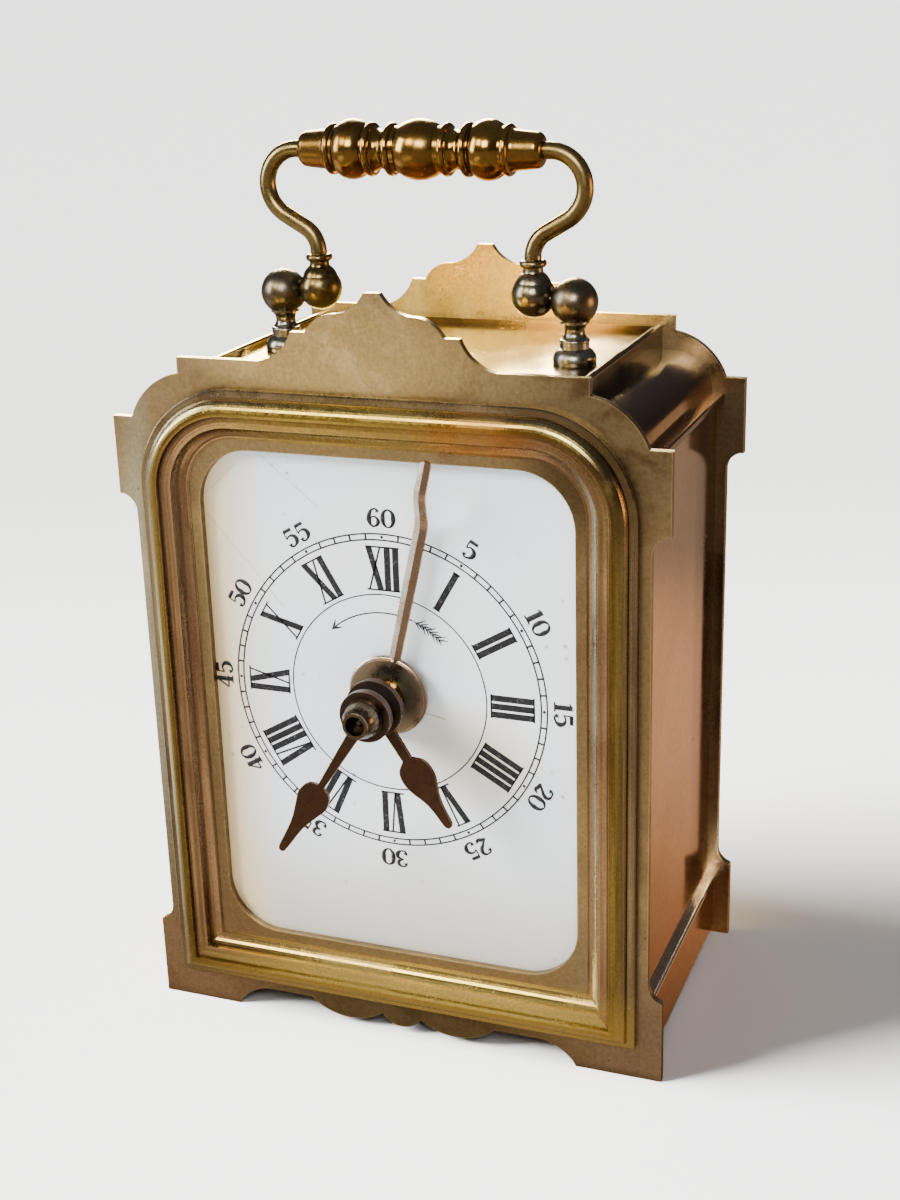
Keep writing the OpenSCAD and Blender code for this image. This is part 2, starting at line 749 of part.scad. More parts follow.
module post(side) {
    ball_z = pivot_h - 0.25;
    cheek = post_ball_r + 0.5;
    difference() {
        translate([side * post_x, handle_y, tray_z]) union() {
            rotate_extrude() intersection() {
                union() {
                    translate([1.3, 0.55]) circle(1.9);
                    square([1.98, 3.3]);
                    translate([1.95, 3.3]) circle(0.28);
                    difference() {
                        square([2.15, 6.2]);
                        translate([2.84, 4.65]) circle(1.38);
                    }
                    translate([0, ball_z]) circle(post_ball_r);
                }
                square([10, ball_z + post_ball_r]);
            }
            translate([0, 0, -sheet_t - 2.2]) cylinder(r = 1, h = sheet_t + 2.3);
        }
        translate([side > 0 ? 0 : -(joint_plane + cheek_gap), handle_y - cheek, axis_z - cheek])
            cube([joint_plane + cheek_gap, 2 * cheek, 2 * cheek]);
        translate([side * (joint_plane - 1), handle_y, axis_z]) rotate([0, side * 90, 0])
            cylinder(r = pin_r + fit, h = post_x - joint_plane + 1);
    }
}

module right_post() color([0.50, 0.47, 0.38]) in_case() post(1);
module left_post() color([0.50, 0.47, 0.38]) in_case() post(-1);

module post_nuts() color([0.60, 0.50, 0.32]) in_case() {
    mirrored_x() translate([post_x, handle_y, tray_z - sheet_t - 1.6]) difference() {
        cylinder(r = 2.2, h = 1.6, $fn = 6);
        translate([0, 0, -1]) cylinder(r = 1, h = 4);
    }
}

module mount_posts() color([0.55, 0.46, 0.30]) in_case() {
    for (sx = [-1, 1], z = [mount_low, mount_high]) difference() {
        bar_y([sx * mount_x, z], mount_r, plate_t, front_mp);
        bar_y([sx * mount_x, z], screw_r, front_mp - 3, front_mp + 1);
    }
}

module screw(at, y, len) {
    difference() {
        bar_y(at, screw_head_r, y, y + screw_head_t);
        translate([at[0] - 3, y + screw_head_t - 0.4, at[1] - 0.2]) cube([6, 1, 0.4]);
    }
    bar_y(at, screw_r, y - len, y + eps);
}

module mount_screws() color([0.35, 0.35, 0.38]) in_case() {
    for (sx = [-1, 1], z = [mount_low, mount_high]) screw([sx * mount_x, z], mid_y, movement_t + 2.5);
}

module movement_outline() {
    translate([-movement_w / 2, movement_low]) square([movement_w, movement_high - movement_low]);
}

module pillar_places() {
    for (x = [-pillar_at_x, pillar_at_x], z = [pillar_low, pillar_high]) translate([x, z]) children();
}

// Holes for the arbors that pass a movement plate, each with its running clearance
module arbor_holes(places) {
    for (p = places) translate(p[0]) circle(p[1] + fit);
}

module movement_front_plate() color([0.72, 0.60, 0.36]) in_case() {
    stud = minute_at;
    slab(front_mp, movement_t) difference() {
        union() {
            movement_outline();
            for (z = [movement_low, movement_high - strap_h])
                translate([-mount_x - mount_r, z]) square([2 * (mount_x + mount_r), strap_h]);
        }
        for (sx = [-1, 1], z = [mount_low, mount_high]) translate([sx * mount_x, z]) circle(screw_r);
        for (at = dial_feet) translate([at[0], centre_z + at[1]]) circle(dial_foot_r);
        pillar_places() circle(screw_r);
        arbor_holes([[centre_at, arbor_r], [barrel_at, arbor_r + 0.5], [third_at, arbor_r], [fourth_at, arbor_r],
            [escape_at, arbor_r], [pallet_at, arbor_r], [balance_at, staff_r], [alarm_at, arbor_r + 0.5],
            [strike_at, arbor_r], [hammer_at, arbor_r]]);
    }
    bar_y(stud, 0.6, minute_wheel_y - 1.8, front_mp + eps);
}

module movement_back_plate() color([0.72, 0.60, 0.36]) in_case() {
    slab(back_mp, movement_t) difference() {
        movement_outline();
        pillar_places() circle(screw_r);
        translate(cock_foot_at) circle(screw_r);
        translate(click_at) circle(click_stud_r);
        translate(alarm_click_at) circle(click_stud_r);
        arbor_holes([[centre_at, arbor_r], [barrel_at, barrel_arbor_r], [third_at, arbor_r], [fourth_at, arbor_r],
            [escape_at, arbor_r], [pallet_at, arbor_r], [balance_at, arbor_r + 0.3], [alarm_at, barrel_arbor_r],
            [strike_at, arbor_r], [hammer_at, arbor_r]]);
    }
    for (at = [click_at, alarm_click_at]) bar_y(at, click_stud_r, back_mp, ratchet_y + ratchet_t + 0.3);
}

module movement_pillars() color([0.70, 0.58, 0.35]) in_case() {
    for (x = [-pillar_at_x, pillar_at_x], z = [pillar_low, pillar_high]) {
        difference() {
            union() {
                bar_y([x, z], pillar_r - 0.4, mid_y, back_mp);
                for (y = [mid_y, back_mp - 3, (mid_y + back_mp) / 2 - 1.5]) bar_y([x, z], pillar_r, y, y + 3);
            }
            bar_y([x, z], screw_r, back_mp - 2.6, back_mp + 1);
        }
        bar_y([x, z], screw_r, front_mp, mid_y + eps);
    }
}

module movement_screws() color([0.30, 0.32, 0.38]) in_case() {
    for (x = [-pillar_at_x, pillar_at_x], z = [pillar_low, pillar_high]) screw([x, z], rear_y, movement_t + 2.4);
    screw(cock_foot_at, cock_y + 1.4, cock_y + 1.4 - back_mp);
}

module balance_cock() color([0.74, 0.61, 0.36]) in_case() {
    t = 1.4;
    difference() {
        union() {
            slab(cock_y, t) union() {
                translate(balance_at) circle(2.4);
                translate(cock_foot_at) circle(cock_foot_r);
                translate(balance_at) rotate(cock_dir) translate([0, -1.7]) square([cock_len, 3.4]);
            }
            bar_y(cock_foot_at, cock_foot_r, rear_y, cock_y + eps);
        }
        bar_y(balance_at, staff_r + fit, cock_y - 1, cock_y + t + 1);
        bar_y(cock_foot_at, screw_r, rear_y - 1, cock_y + t + 1);
    }
}

module hairspring() color([0.30, 0.36, 0.55]) in_case() {
    slab(hairspring_y, 0.4) translate(balance_at) rotate(cock_dir) spiral(1.4, 3.9, 5, 0.16);
    bar_y(polar(balance_at, 3.95, cock_dir), 0.3, hairspring_y, cock_y);
}

module regulator_index() color([0.40, 0.42, 0.48]) in_case() {
    y = cock_y + 1.4 + 0.1;
    slab(y, 0.5) translate(balance_at) difference() {
        union() {
            circle(1.9);
            rotate(cock_dir + 180) translate([0, -0.5]) square([6.5, 1]);
            rotate(cock_dir + 180) translate([6.5, 0]) circle(0.8);
        }
        circle(staff_r + fit);
    }
}

// Bell cup, mouth down, on a post that stands on the base panel
module bell() color([0.75, 0.72, 0.62]) in_case() {
    translate([0, bell_y, bell_rim_z]) rotate_extrude() difference() {
        intersection() {
            translate([0, bell_h - dome_r]) circle(dome_r);
            square([bell_r, bell_h]);
        }
        translate([0, bell_h - dome_r]) circle(dome_r - bell_t);
        translate([-1, -1]) square([2.5, bell_h + 2]);
    }
}

module bell_post() color([0.55, 0.46, 0.30]) in_case() {
    top = bell_rim_z + bell_h - bell_t;
    translate([0, bell_y, 0]) {
        translate([0, 0, base_low]) cylinder(r = 1.5, h = top + bell_t + 0.2 - base_low);
        translate([0, 0, base_low + sheet_t]) cylinder(r = 2.6, h = top - base_low - sheet_t - 0.2);
        translate([0, 0, top + bell_t + 0.1]) cylinder(r = 2.4, h = 1);
    }
}

// Half the outline of the grip's core: plain in the middle, a cove, a taper and a rounded end
grip_edge = concat([[3.33, 13.9]], arc(3.78, 14.7, 0.9, 235, 180, 3),
    arc(1.5, grip_half - 1.1, 1.1, 0, 90, 5), [[0, grip_half]]);

// Section of a round bead of the grip, cut off at the axis and at its two ends
module bead(at, r_out, curve_r, half) {
    intersection() {
        translate([r_out - curve_r, at]) circle(curve_r);
        translate([0, at - half - eps]) square([6, 2 * (half + eps)]);
    }
}

// Turned grip: a round bead in the middle, one on each side, rings between them
module handle_grip() color([0.60, 0.46, 0.22]) in_case() {
    last = len(grip_edge) - 1;
    difference() {
        translate([0, handle_y, grip_z]) rotate([0, 90, 0]) rotate_extrude() union() {
            difference() {
                polygon(concat([for (i = [last : -1 : 0]) [grip_edge[i][0], -grip_edge[i][1]]], grip_edge));
                for (s = [-1, 1]) translate([3.99, s * 5.86]) circle(1.2);
            }
            for (s = [-1, 1], ring = [[4.25, 3.8], [7.47, 3.87], [13.57, 3.69]])
                translate([ring[1] - 0.55, s * ring[0]]) circle(0.55);
            for (s = [-1, 1]) bead(s * 10.48, bead_r + 0.12, 3.12, 3.12);
            bead(0, bead_r + 0.13, 5.3, 3.1);
        }
        for (s = [-1, 1]) translate([s * (grip_half - tenon_len), handle_y, grip_z]) rotate([0, s * 90, 0])
            cylinder(r = stem_r, h = tenon_len + 1);
    }
}

// One handle arm: tenon, outer bow, stem, return curve, collar and pivot ball
module arm() {
    translate([0, handle_y, 0]) difference() {
        union() {
            translate([grip_half - tenon_len, 0, grip_z]) rotate([0, 90, 0])
                cylinder(r = stem_r, h = bow_x - grip_half + tenon_len + wire_lap);
            translate([bow_x, 0, bow_z]) rotate([90, 0, 0]) rotate([0, 0, -bow_end])
                rotate_extrude(angle = 90 + bow_end, $fn = 48) translate([bow_r, 0]) circle(wire_r, $fn = 24);
            translate([bow_x + bow_r * cos(bow_end), 0, bow_z - bow_r * sin(bow_end)])
                rotate([0, bow_end - 180, 0]) translate([0, 0, -wire_lap])
                    cylinder(r = stem_r, h = stem_len + 2 * wire_lap);
            translate([arm_x + return_r, 0, return_z]) rotate([90, 0, 0]) rotate([0, 0, 180 - bow_end])
                rotate_extrude(angle = bow_end, $fn = 48) translate([return_r, 0]) circle(wire_r, $fn = 24);
            translate([arm_x, 0, axis_z]) rotate_extrude() intersection() {
                union() {
                    translate([0, 0.45]) circle(arm_ball_r);
                    translate([0, 1.55]) circle(arm_ball_r - 0.5);
                    difference() {
                        translate([0, 2.2]) square([2.15, 2.6]);
                        translate([3.05, 4.3]) circle(1.6);
                    }
                    square([stem_r, return_z - axis_z + wire_lap]);
                    translate([1.45, 5.04]) circle(0.55);
                }
                translate([0, -arm_ball_r]) square([6, return_z - axis_z + arm_ball_r + wire_lap]);
            }
        }
        translate([joint_plane - cheek_gap, -6, axis_z - 6]) cube([6, 12, 11.2]);
        translate([arm_x - arm_ball_r + 1, 0, axis_z]) rotate([0, 90, 0]) cylinder(r = pin_r, h = 8);
    }
}

module right_arm() color([0.58, 0.46, 0.24]) in_case() arm();
module left_arm() color([0.58, 0.46, 0.24]) in_case() mirror([1, 0, 0]) arm();

module pivot_pins() color([0.45, 0.43, 0.40]) in_case() {
    mirrored_x() translate([arm_x - arm_ball_r + 1, handle_y, axis_z]) rotate([0, 90, 0])
        cylinder(r = pin_r, h = post_x - arm_x + arm_ball_r - 1.2);
}

// Turns a drawing whose hand points up to its direction on the dial
module on_dial(dir) {
    translate(centre_at) rotate(-dir) children();
}

// A point of the smooth curve through a list of points, a share s of the way from point i to the next
function curve_point(p, i, s) = let (a = p[max(i - 1, 0)], b = p[i], c = p[i + 1], d = p[min(i + 2, len(p) - 1)])
    (2 * b + (c - a) * s + (2 * a - 5 * b + 4 * c - d) * s * s + (3 * b - a - 3 * c + d) * s * s * s) / 2;

// A spade hand that points up: a tapered stem, then a blade with a drawn-out point.
// Its edge is given as [share of the blade's half width, share of the blade's length]
module spade_hand(stem, root, reach, half, edge) {
    p = [for (e = edge) [e[0] * half, root + e[1] * (reach - root)]];
    side = concat([[stem, 0]], [for (i = [0 : len(p) - 2], s = [0, 0.5]) curve_point(p, i, s)], [p[len(p) - 1]]);
    polygon(concat(side, [for (i = [len(side) - 1 : -1 : 0]) [-side[i][0], side[i][1]]]));
}

module minute_hand() color([0.16, 0.12, 0.10]) in_case() {
    boss_t = 1.2;
    edge = [[0.21, 0], [0.58, 0.026], [0.8, 0.066], [0.93, 0.115], [1, 0.19], [0.95, 0.26], [0.68, 0.414],
        [0.47, 0.55], [0.36, 0.692], [0.29, 0.853], [0.22, 0.97], [0.08, 1]];
    difference() {
        union() {
            slab(minute_front + 0.3, blade_t) on_dial(minute_dir)
                spade_hand(1.05, minute_reach - 13.65, minute_reach, 2.5, edge);
            bar_y(centre_at, minute_boss_r, minute_front, minute_front + boss_t);
        }
        bar_y(centre_at, cannon_r, minute_front - 1, minute_front + boss_t + 1);
    }
}

module hand_nut() color([0.32, 0.27, 0.22]) in_case() {
    len = nose_reach + minute_front;
    translate([0, minute_front, centre_z]) rotate([90, 0, 0]) rotate_extrude() difference() {
        union() {
            square([2.95, 0.5]);
            intersection() {
                translate([-1.7, 0.5]) circle(4.5);
                square([4, len - 0.3]);
            }
            square([1.94, len]);
        }
        translate([0, len - 2.2]) square([1.5, 3]);
        square([cannon_r, len - 2.6]);
        square([arbor_r + fit, len]);
    }
}

module cannon_pinion() color([0.62, 0.60, 0.56]) in_case() {
    nose = -nose_reach + 2.7;
    difference() {
        union() {
            bar_y(centre_at, cannon_r, nose, front_mp - 0.2);
            slab(minute_wheel_y - 0.2, motion_t + 0.4) translate(centre_at) pinion(cannon_n, cannon_m, cannon_phase);
        }
        bar_y(centre_at, arbor_r, nose - 1, front_mp + 1);
    }
}

module centre_arbor() color([0.70, 0.70, 0.72]) in_case() {
    bar_y(centre_at, arbor_r, -nose_reach + 1.7, rear_y + 5);
    translate([0, -nose_reach + 1.3, centre_z]) rotate([-90, 0, 0]) cylinder(r1 = 0.3, r2 = arbor_r, h = 0.4);
    difference() {
        bar_y(centre_at, 2.6, rear_y + 2.4, rear_y + 5.4);
        bar_y(centre_at, arbor_r - 0.1, rear_y + 5.05, rear_y + 6);
    }
}

module hour_hand() color([0.16, 0.12, 0.10]) in_case() {
    boss_t = 1;
    edge = [[0.3, 0], [0.49, 0.033], [0.75, 0.075], [0.93, 0.14], [1, 0.23], [0.936, 0.346], [0.75, 0.454],
        [0.505, 0.57], [0.356, 0.704], [0.296, 0.8375], [0.24, 0.96], [0.08, 1]];
    difference() {
        union() {
            slab(hour_front + 0.3, blade_t) on_dial(hour_dir)
                spade_hand(0.95, hour_reach - 12, hour_reach, 2.67, edge);
            bar_y(centre_at, hour_boss_r, hour_front, hour_front + boss_t);
        }
        bar_y(centre_at, hour_pipe_r, hour_front - 1, hour_front + boss_t + 1);
    }
}

module hour_wheel() color([0.72, 0.60, 0.36]) in_case() {
    difference() {
        union() {
            bar_y(centre_at, hour_pipe_r, hour_front + 0.4, hour_wheel_y + motion_t);
            slab(hour_wheel_y, motion_t) translate(centre_at) gear(hour_n, hour_m, hour_phase);
        }
        bar_y(centre_at, hour_bore, hour_front - 1, hour_wheel_y + motion_t + 1);
    }
}

module minute_wheel() color([0.72, 0.60, 0.36]) in_case() {
    difference() {
        union() {
            slab(minute_wheel_y, motion_t) translate(minute_at) gear(minute_n, cannon_m, minute_phase);
            slab(hour_wheel_y - 0.2, minute_wheel_y - hour_wheel_y + 0.2 + eps) translate(minute_at)
                pinion(minute_pinion_n, hour_m, minute_pinion_phase);
        }
        bar_y(minute_at, 0.6 + fit, hour_wheel_y - 1, minute_wheel_y + motion_t + 1);
    }
}

// The alarm hand's ridge line as [z, y]: straight, a soft double bend, straight again
function bend(z, y0, y1, y2) = [for (s = [0 : 0.25 : 1])
    [z + (2 * s - 1) * bend_r, (1 - s) * (1 - s) * y0 + 2 * s * (1 - s) * y1 + s * s * y2]];
bend_r = 1;
bend_y = crank_rise * bend_r / (crank_end - crank_start);
ridge_line = concat([[disc_r - 1, 0]], bend(crank_start, 0, 0, -bend_y),
    bend(crank_end, bend_y - crank_rise, -crank_rise, -crank_rise), [[alarm_reach + 1, -crank_rise]]);

// A block along x between two shifted copies of the ridge line
module ridge_block(y0, y1, share) {
    last = len(ridge_line) - 1;
    rotate([90, 0, 90]) translate([0, 0, -6]) linear_extrude(12) polygon(concat(
        [for (p = ridge_line) [p[1] * share + y1, p[0]]],
        [for (i = [last : -1 : 0]) [ridge_line[i][1] * share + y0, ridge_line[i][0]]]));
}

module alarm_hand() color([0.50, 0.36, 0.27]) in_case() {
    slant = 24;
    ridge_t = 0.8;
    plan = [[0.85, disc_r - 1], [0.9, disc_r + 4], [1, crank_start - 8], [1, crank_start], [0.88, crank_end],
        [0.86, alarm_reach - 0.75], [0.72, alarm_reach - 0.35], [0.45, alarm_reach - 0.1], [0.15, alarm_reach]];
    difference() {
        union() {
            translate([0, disc_front, centre_z]) rotate([-90, 0, 0]) rotate_extrude() union() {
                square([disc_r - 0.5, 1.3]);
                translate([disc_r - 0.5, 0.8]) circle(0.5);
                translate([0, 0.5]) square([disc_r - 0.5, 0.8]);
            }
            translate([0, disc_front + 0.1, centre_z]) rotate([0, alarm_dir, 0]) intersection() {
                ridge_block(-2, ridge_t, 1);
                rotate([0, 0, slant]) ridge_block(0, 6, cos(slant));
                rotate([0, 0, -slant]) ridge_block(0, 6, cos(slant));
                slab(-8, 12) polygon(concat(plan, [for (i = [len(plan) - 1 : -1 : 0]) [-plan[i][0], plan[i][1]]]));
            }
        }
        bar_y(centre_at, alarm_pipe_r, disc_front - 1, disc_front + 3);
    }
}

module alarm_wheel() color([0.72, 0.60, 0.36]) in_case() {
    difference() {
        union() {
            bar_y(centre_at, alarm_pipe_r, disc_front + 0.2, alarm_wheel_y + 0.5);
            slab(alarm_wheel_y, 0.5) translate(centre_at) difference() {
                circle(5.4);
                rotate(-alarm_dir) translate([0, 5.6]) circle(0.8);
            }
        }
        bar_y(centre_at, alarm_bore, disc_front - 1, alarm_wheel_y + 2);
    }
}

// Great wheel and open drum in one piece
module drum(at, r, n, m, phase) {
    difference() {
        union() {
            slab(great_y, great_t) translate(at) gear(n, m, phase);
            bar_y(at, r, drum_y - eps, drum_end);
        }
        bar_y(at, r - drum_wall, drum_y + 0.6, drum_end + 1);
        bar_y(at, barrel_arbor_r + fit, great_y - 1, drum_end);
    }
}

module barrel() color([0.74, 0.61, 0.36]) in_case() {
    drum(barrel_at, barrel_r, great_n, great_m, great_phase);
}

module drum_cap(at, r) {
    slab(drum_end - cap_t, cap_t) translate(at) difference() {
        circle(r - drum_wall);
        circle(barrel_arbor_r + fit);
    }
}

module barrel_cap() color([0.70, 0.57, 0.34]) in_case() drum_cap(barrel_at, barrel_r);
module alarm_cap() color([0.70, 0.57, 0.34]) in_case() drum_cap(alarm_at, alarm_barrel_r);

module coiled_spring(at, r, turns, w) {
    slab(drum_y + 0.9, drum_len - 2.2) translate(at) spiral(3.2, r - drum_wall - w / 2, turns, w);
}

module mainspring() color([0.30, 0.34, 0.45]) in_case() coiled_spring(barrel_at, barrel_r, 7, 0.5);
module alarm_mainspring() color([0.30, 0.34, 0.45]) in_case() coiled_spring(alarm_at, alarm_barrel_r, 6, 0.45);

// Winding arbor with its ratchet wheel and square
module winding_arbor(at) {
    bar_y(at, arbor_r + 0.5, front_mp + 0.1, great_y - 0.3);
    bar_y(at, barrel_arbor_r, great_y - 0.3 - eps, ratchet_y + ratchet_t + 0.2);
    slab(ratchet_y, ratchet_t) translate(at) saw(24, ratchet_r, 0.9, 0);
    square_bar(at, square_w, ratchet_y + ratchet_t + 0.2 - eps, square_end);
}

module barrel_arbor() color([0.60, 0.62, 0.66]) in_case() winding_arbor(barrel_at);
module alarm_arbor() color([0.60, 0.62, 0.66]) in_case() winding_arbor(alarm_at);

// Click whose nose rests just outside the ratchet teeth
module click_piece(hub, pivot) {
    back = atan2(hub[1] - pivot[1], hub[0] - pivot[0]);
    slab(ratchet_y, ratchet_t) translate(pivot) difference() {
        union() {
            circle(1.5);
            rotate(back - click_lean) polygon([[-0.6, -1.1], [3, -1], [5.9, -0.4], [5.6, 0.5], [-0.6, 1.1]]);
        }
        circle(click_stud_r + fit);
    }
}

module click() color([0.55, 0.55, 0.60]) in_case() click_piece(barrel_at, click_at);
module alarm_click() color([0.55, 0.55, 0.60]) in_case() click_piece(alarm_at, alarm_click_at);

module centre_wheel() color([0.74, 0.61, 0.36]) in_case() {
    tube_r = 1.5;
    difference() {
        union() {
            bar_y(centre_at, tube_r, mid_y + 0.3, centre_wheel_y + 1.4);
            slab(great_y - 0.5, great_t + 1) translate(centre_at)
                pinion(centre_pinion_n, great_m, centre_pinion_phase);
            slab(centre_wheel_y, wheel_t) translate(centre_at) train_wheel(centre_n, centre_m, centre_phase, 2.4);
        }
        bar_y(centre_at, arbor_r + fit, mid_y - 1, centre_wheel_y + 3);
    }
}

// Crossed-out train wheel
module train_wheel(n, m, phase, hub) {
    r = n * m / 2 - 1.3 * m;
    difference() {
        gear(n, m, phase);
        circle(r - 0.1);
    }
    crossed_wheel(r, hub, 4);
}

module train_arbor(at) {
    bar_y(at, arbor_r, front_mp + 0.3, rear_y - 0.3);
}

module third_wheel() color([0.74, 0.61, 0.36]) in_case() {
    train_arbor(third_at);
    slab(centre_wheel_y - 0.5, wheel_t + 1) translate(third_at)
        pinion(third_pinion_n, centre_m, third_pinion_phase);
    slab(third_wheel_y, wheel_t) translate(third_at) train_wheel(third_n, third_m, third_phase, 2);
}

module fourth_wheel() color([0.74, 0.61, 0.36]) in_case() {
    train_arbor(fourth_at);
    slab(third_wheel_y - 0.5, wheel_t + 1) translate(fourth_at)
        pinion(fourth_pinion_n, third_m, fourth_pinion_phase);
    slab(fourth_wheel_y, 0.6) translate(fourth_at) train_wheel(fourth_n, fourth_m, fourth_phase, 1.8);
}

module escape_wheel() color([0.74, 0.61, 0.36]) in_case() {
    train_arbor(escape_at);
    slab(fourth_wheel_y - 0.4, 1.4) translate(escape_at) pinion(escape_pinion_n, fourth_m, escape_pinion_phase);
    slab(escape_y, 0.6) translate(escape_at) difference() {
        saw(escape_n, escape_r, 1.2, escape_phase + 8);
        for (i = [0 : 3]) rotate(i * 90 + 45) translate([2.3, 0]) circle(0.8);
    }
}

module pallet_lever() color([0.60, 0.62, 0.66]) in_case() {
    train_arbor(pallet_at);
    slab(escape_y, 0.6) translate(pallet_at) rotate(balance_dir + 180) union() {
        circle(1);
        translate([-6.6, -0.4]) square([6.6, 0.8]);
        translate([-7.3, -0.9]) square([1, 1.8]);
        for (s = [-1, 1]) polygon([[-0.6, 0], [0.2, 0], [2.5, s * 4.25], [2.1, s * 4.7], [1.6, s * 4.5]]);
    }
}

module balance_wheel() color([0.76, 0.62, 0.36]) in_case() {
    bar_y(balance_at, staff_r, front_mp + 0.3, cock_y + 1.2);
    bar_y(balance_at, arbor_r, mid_y + 0.4, balance_y + 1.2);
    bar_y(balance_at, 1.1, escape_y - 0.9, escape_y - 0.3);
    bar_y(polar(balance_at, 0.8, balance_dir + 180), 0.2, escape_y - 0.4, escape_y - 0.1);
    slab(balance_y, 1) translate(balance_at) union() {
        difference() {
            circle(balance_r);
            circle(balance_r - 0.9);
        }
        for (a = [0, 60, 120]) rotate(a) translate([0.3 - balance_r, -0.4]) square([2 * balance_r - 0.6, 0.8]);
    }
    for (i = [0 : 11]) slab(balance_y + 0.3, 0.5) translate(balance_at) rotate(i * 30 + 15)
        translate([balance_r - 0.1, -0.3]) square([0.5, 0.6]);
}

module alarm_barrel() color([0.74, 0.61, 0.36]) in_case() {
    drum(alarm_at, alarm_barrel_r, alarm_n, alarm_m, alarm_phase);
}

module strike_wheel() color([0.74, 0.61, 0.36]) in_case() {
    train_arbor(strike_at);
    slab(great_y - 0.4, great_t + 0.8) translate(strike_at)
        pinion(strike_pinion_n, alarm_m, strike_pinion_phase);
    slab(strike_y, 0.8) translate(strike_at) saw(strike_n, strike_r, 1.2, 0);
}

// Hammer with its two pallets, a bent arm and a round head beside the bell
module hammer() color([0.58, 0.58, 0.60]) in_case() {
    head_at = [bell_r + 3.6, bell_rim_z + 3];
    side_x = movement_w / 2 + 1.4;
    arm_w = 1;
    to_strike = atan2(strike_at[1] - hammer_at[1], strike_at[0] - hammer_at[0]);
    train_arbor(hammer_at);
    slab(strike_y, 0.8) translate(hammer_at) rotate(to_strike) union() {
        circle(1.2);
        for (s = [-1, 1]) polygon([[-0.6, 0], [0.6, 0], [3.9, s * 3.6], [3.4, s * 4.2], [2.8, s * 4.1]]);
    }
    slab(hammer_y, 0.8) union() {
        translate(hammer_at) circle(1.2);
        translate([hammer_at[0], hammer_at[1] - arm_w / 2]) square([side_x - hammer_at[0], arm_w]);
        translate([side_x - arm_w / 2, movement_low - 1]) square([arm_w, hammer_at[1] - movement_low + 1 + arm_w / 2]);
        link([side_x, movement_low - 0.6], head_at, arm_w);
    }
    bar_y(head_at, 2.2, hammer_y - 1.4, hammer_y + 2.2);
}

// A straight strip between two points
module link(a, b, w) {
    len = norm(b - a);
    translate(a) rotate(atan2(b[1] - a[1], b[0] - a[0])) translate([0, -w / 2]) square([len, w]);
}

front_plate();
dial_bezel();
back_plate();
left_side_panel();
right_side_panel();
left_shoulder();
right_shoulder();
top_panel();
base_panel();
dial();
left_post();
right_post();
post_nuts();
mount_posts();
mount_screws();
movement_front_plate();
movement_back_plate();
movement_pillars();
movement_screws();
balance_cock();
hairspring();
bell();
bell_post();
hinge_pin();
handle_grip();
left_arm();
right_arm();
pivot_pins();
back_door();
door_knob();
minute_hand();
hand_nut();
cannon_pinion();
centre_arbor();
hour_hand();
hour_wheel();
minute_wheel();
alarm_hand();
alarm_wheel();
barrel();
barrel_cap();
mainspring();
barrel_arbor();
click();
centre_wheel();
third_wheel();
fourth_wheel();
escape_wheel();
pallet_lever();
balance_wheel();
regulator_index();
alarm_barrel();
alarm_cap();
alarm_mainspring();
alarm_arbor();
alarm_click();
strike_wheel();
hammer();
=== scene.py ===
"""Looks of the officer's alarm clock: metal and enamel finishes, the printed dial, the stage."""

import math

import bpy
from bpy.props import FloatProperty, FloatVectorProperty, PointerProperty
from mathutils import Matrix, Vector


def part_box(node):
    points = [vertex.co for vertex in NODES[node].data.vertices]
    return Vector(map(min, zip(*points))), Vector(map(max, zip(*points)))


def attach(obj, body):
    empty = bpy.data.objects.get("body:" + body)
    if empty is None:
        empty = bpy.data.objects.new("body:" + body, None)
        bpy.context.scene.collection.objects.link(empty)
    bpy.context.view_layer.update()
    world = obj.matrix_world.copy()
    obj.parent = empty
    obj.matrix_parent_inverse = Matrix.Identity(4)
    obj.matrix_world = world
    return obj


bl_info = {
    "name": "Officer's alarm clock",
    "version": (1, 0, 0),
    "blender": (4, 5, 0),
    "location": "3D View > Sidebar > Clock",
    "description": "Finishes and dial printing for the officer's alarm clock",
    "category": "Object",
}

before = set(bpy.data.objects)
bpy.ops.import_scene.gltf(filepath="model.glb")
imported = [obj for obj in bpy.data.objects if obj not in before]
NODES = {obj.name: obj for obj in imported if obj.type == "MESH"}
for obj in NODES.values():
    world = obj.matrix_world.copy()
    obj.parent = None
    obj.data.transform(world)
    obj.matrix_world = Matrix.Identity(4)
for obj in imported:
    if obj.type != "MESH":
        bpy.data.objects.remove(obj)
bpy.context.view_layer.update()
MM = 0.001

PLATE_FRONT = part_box("front_plate")[0][1]
FACE = PLATE_FRONT / MM
DIAL_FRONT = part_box("dial")[0][1]
# The hands turn about the axis of the alarm wheel
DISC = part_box("alarm_wheel")
CENTRE_Z = (DISC[0][2] + DISC[1][2]) / 2


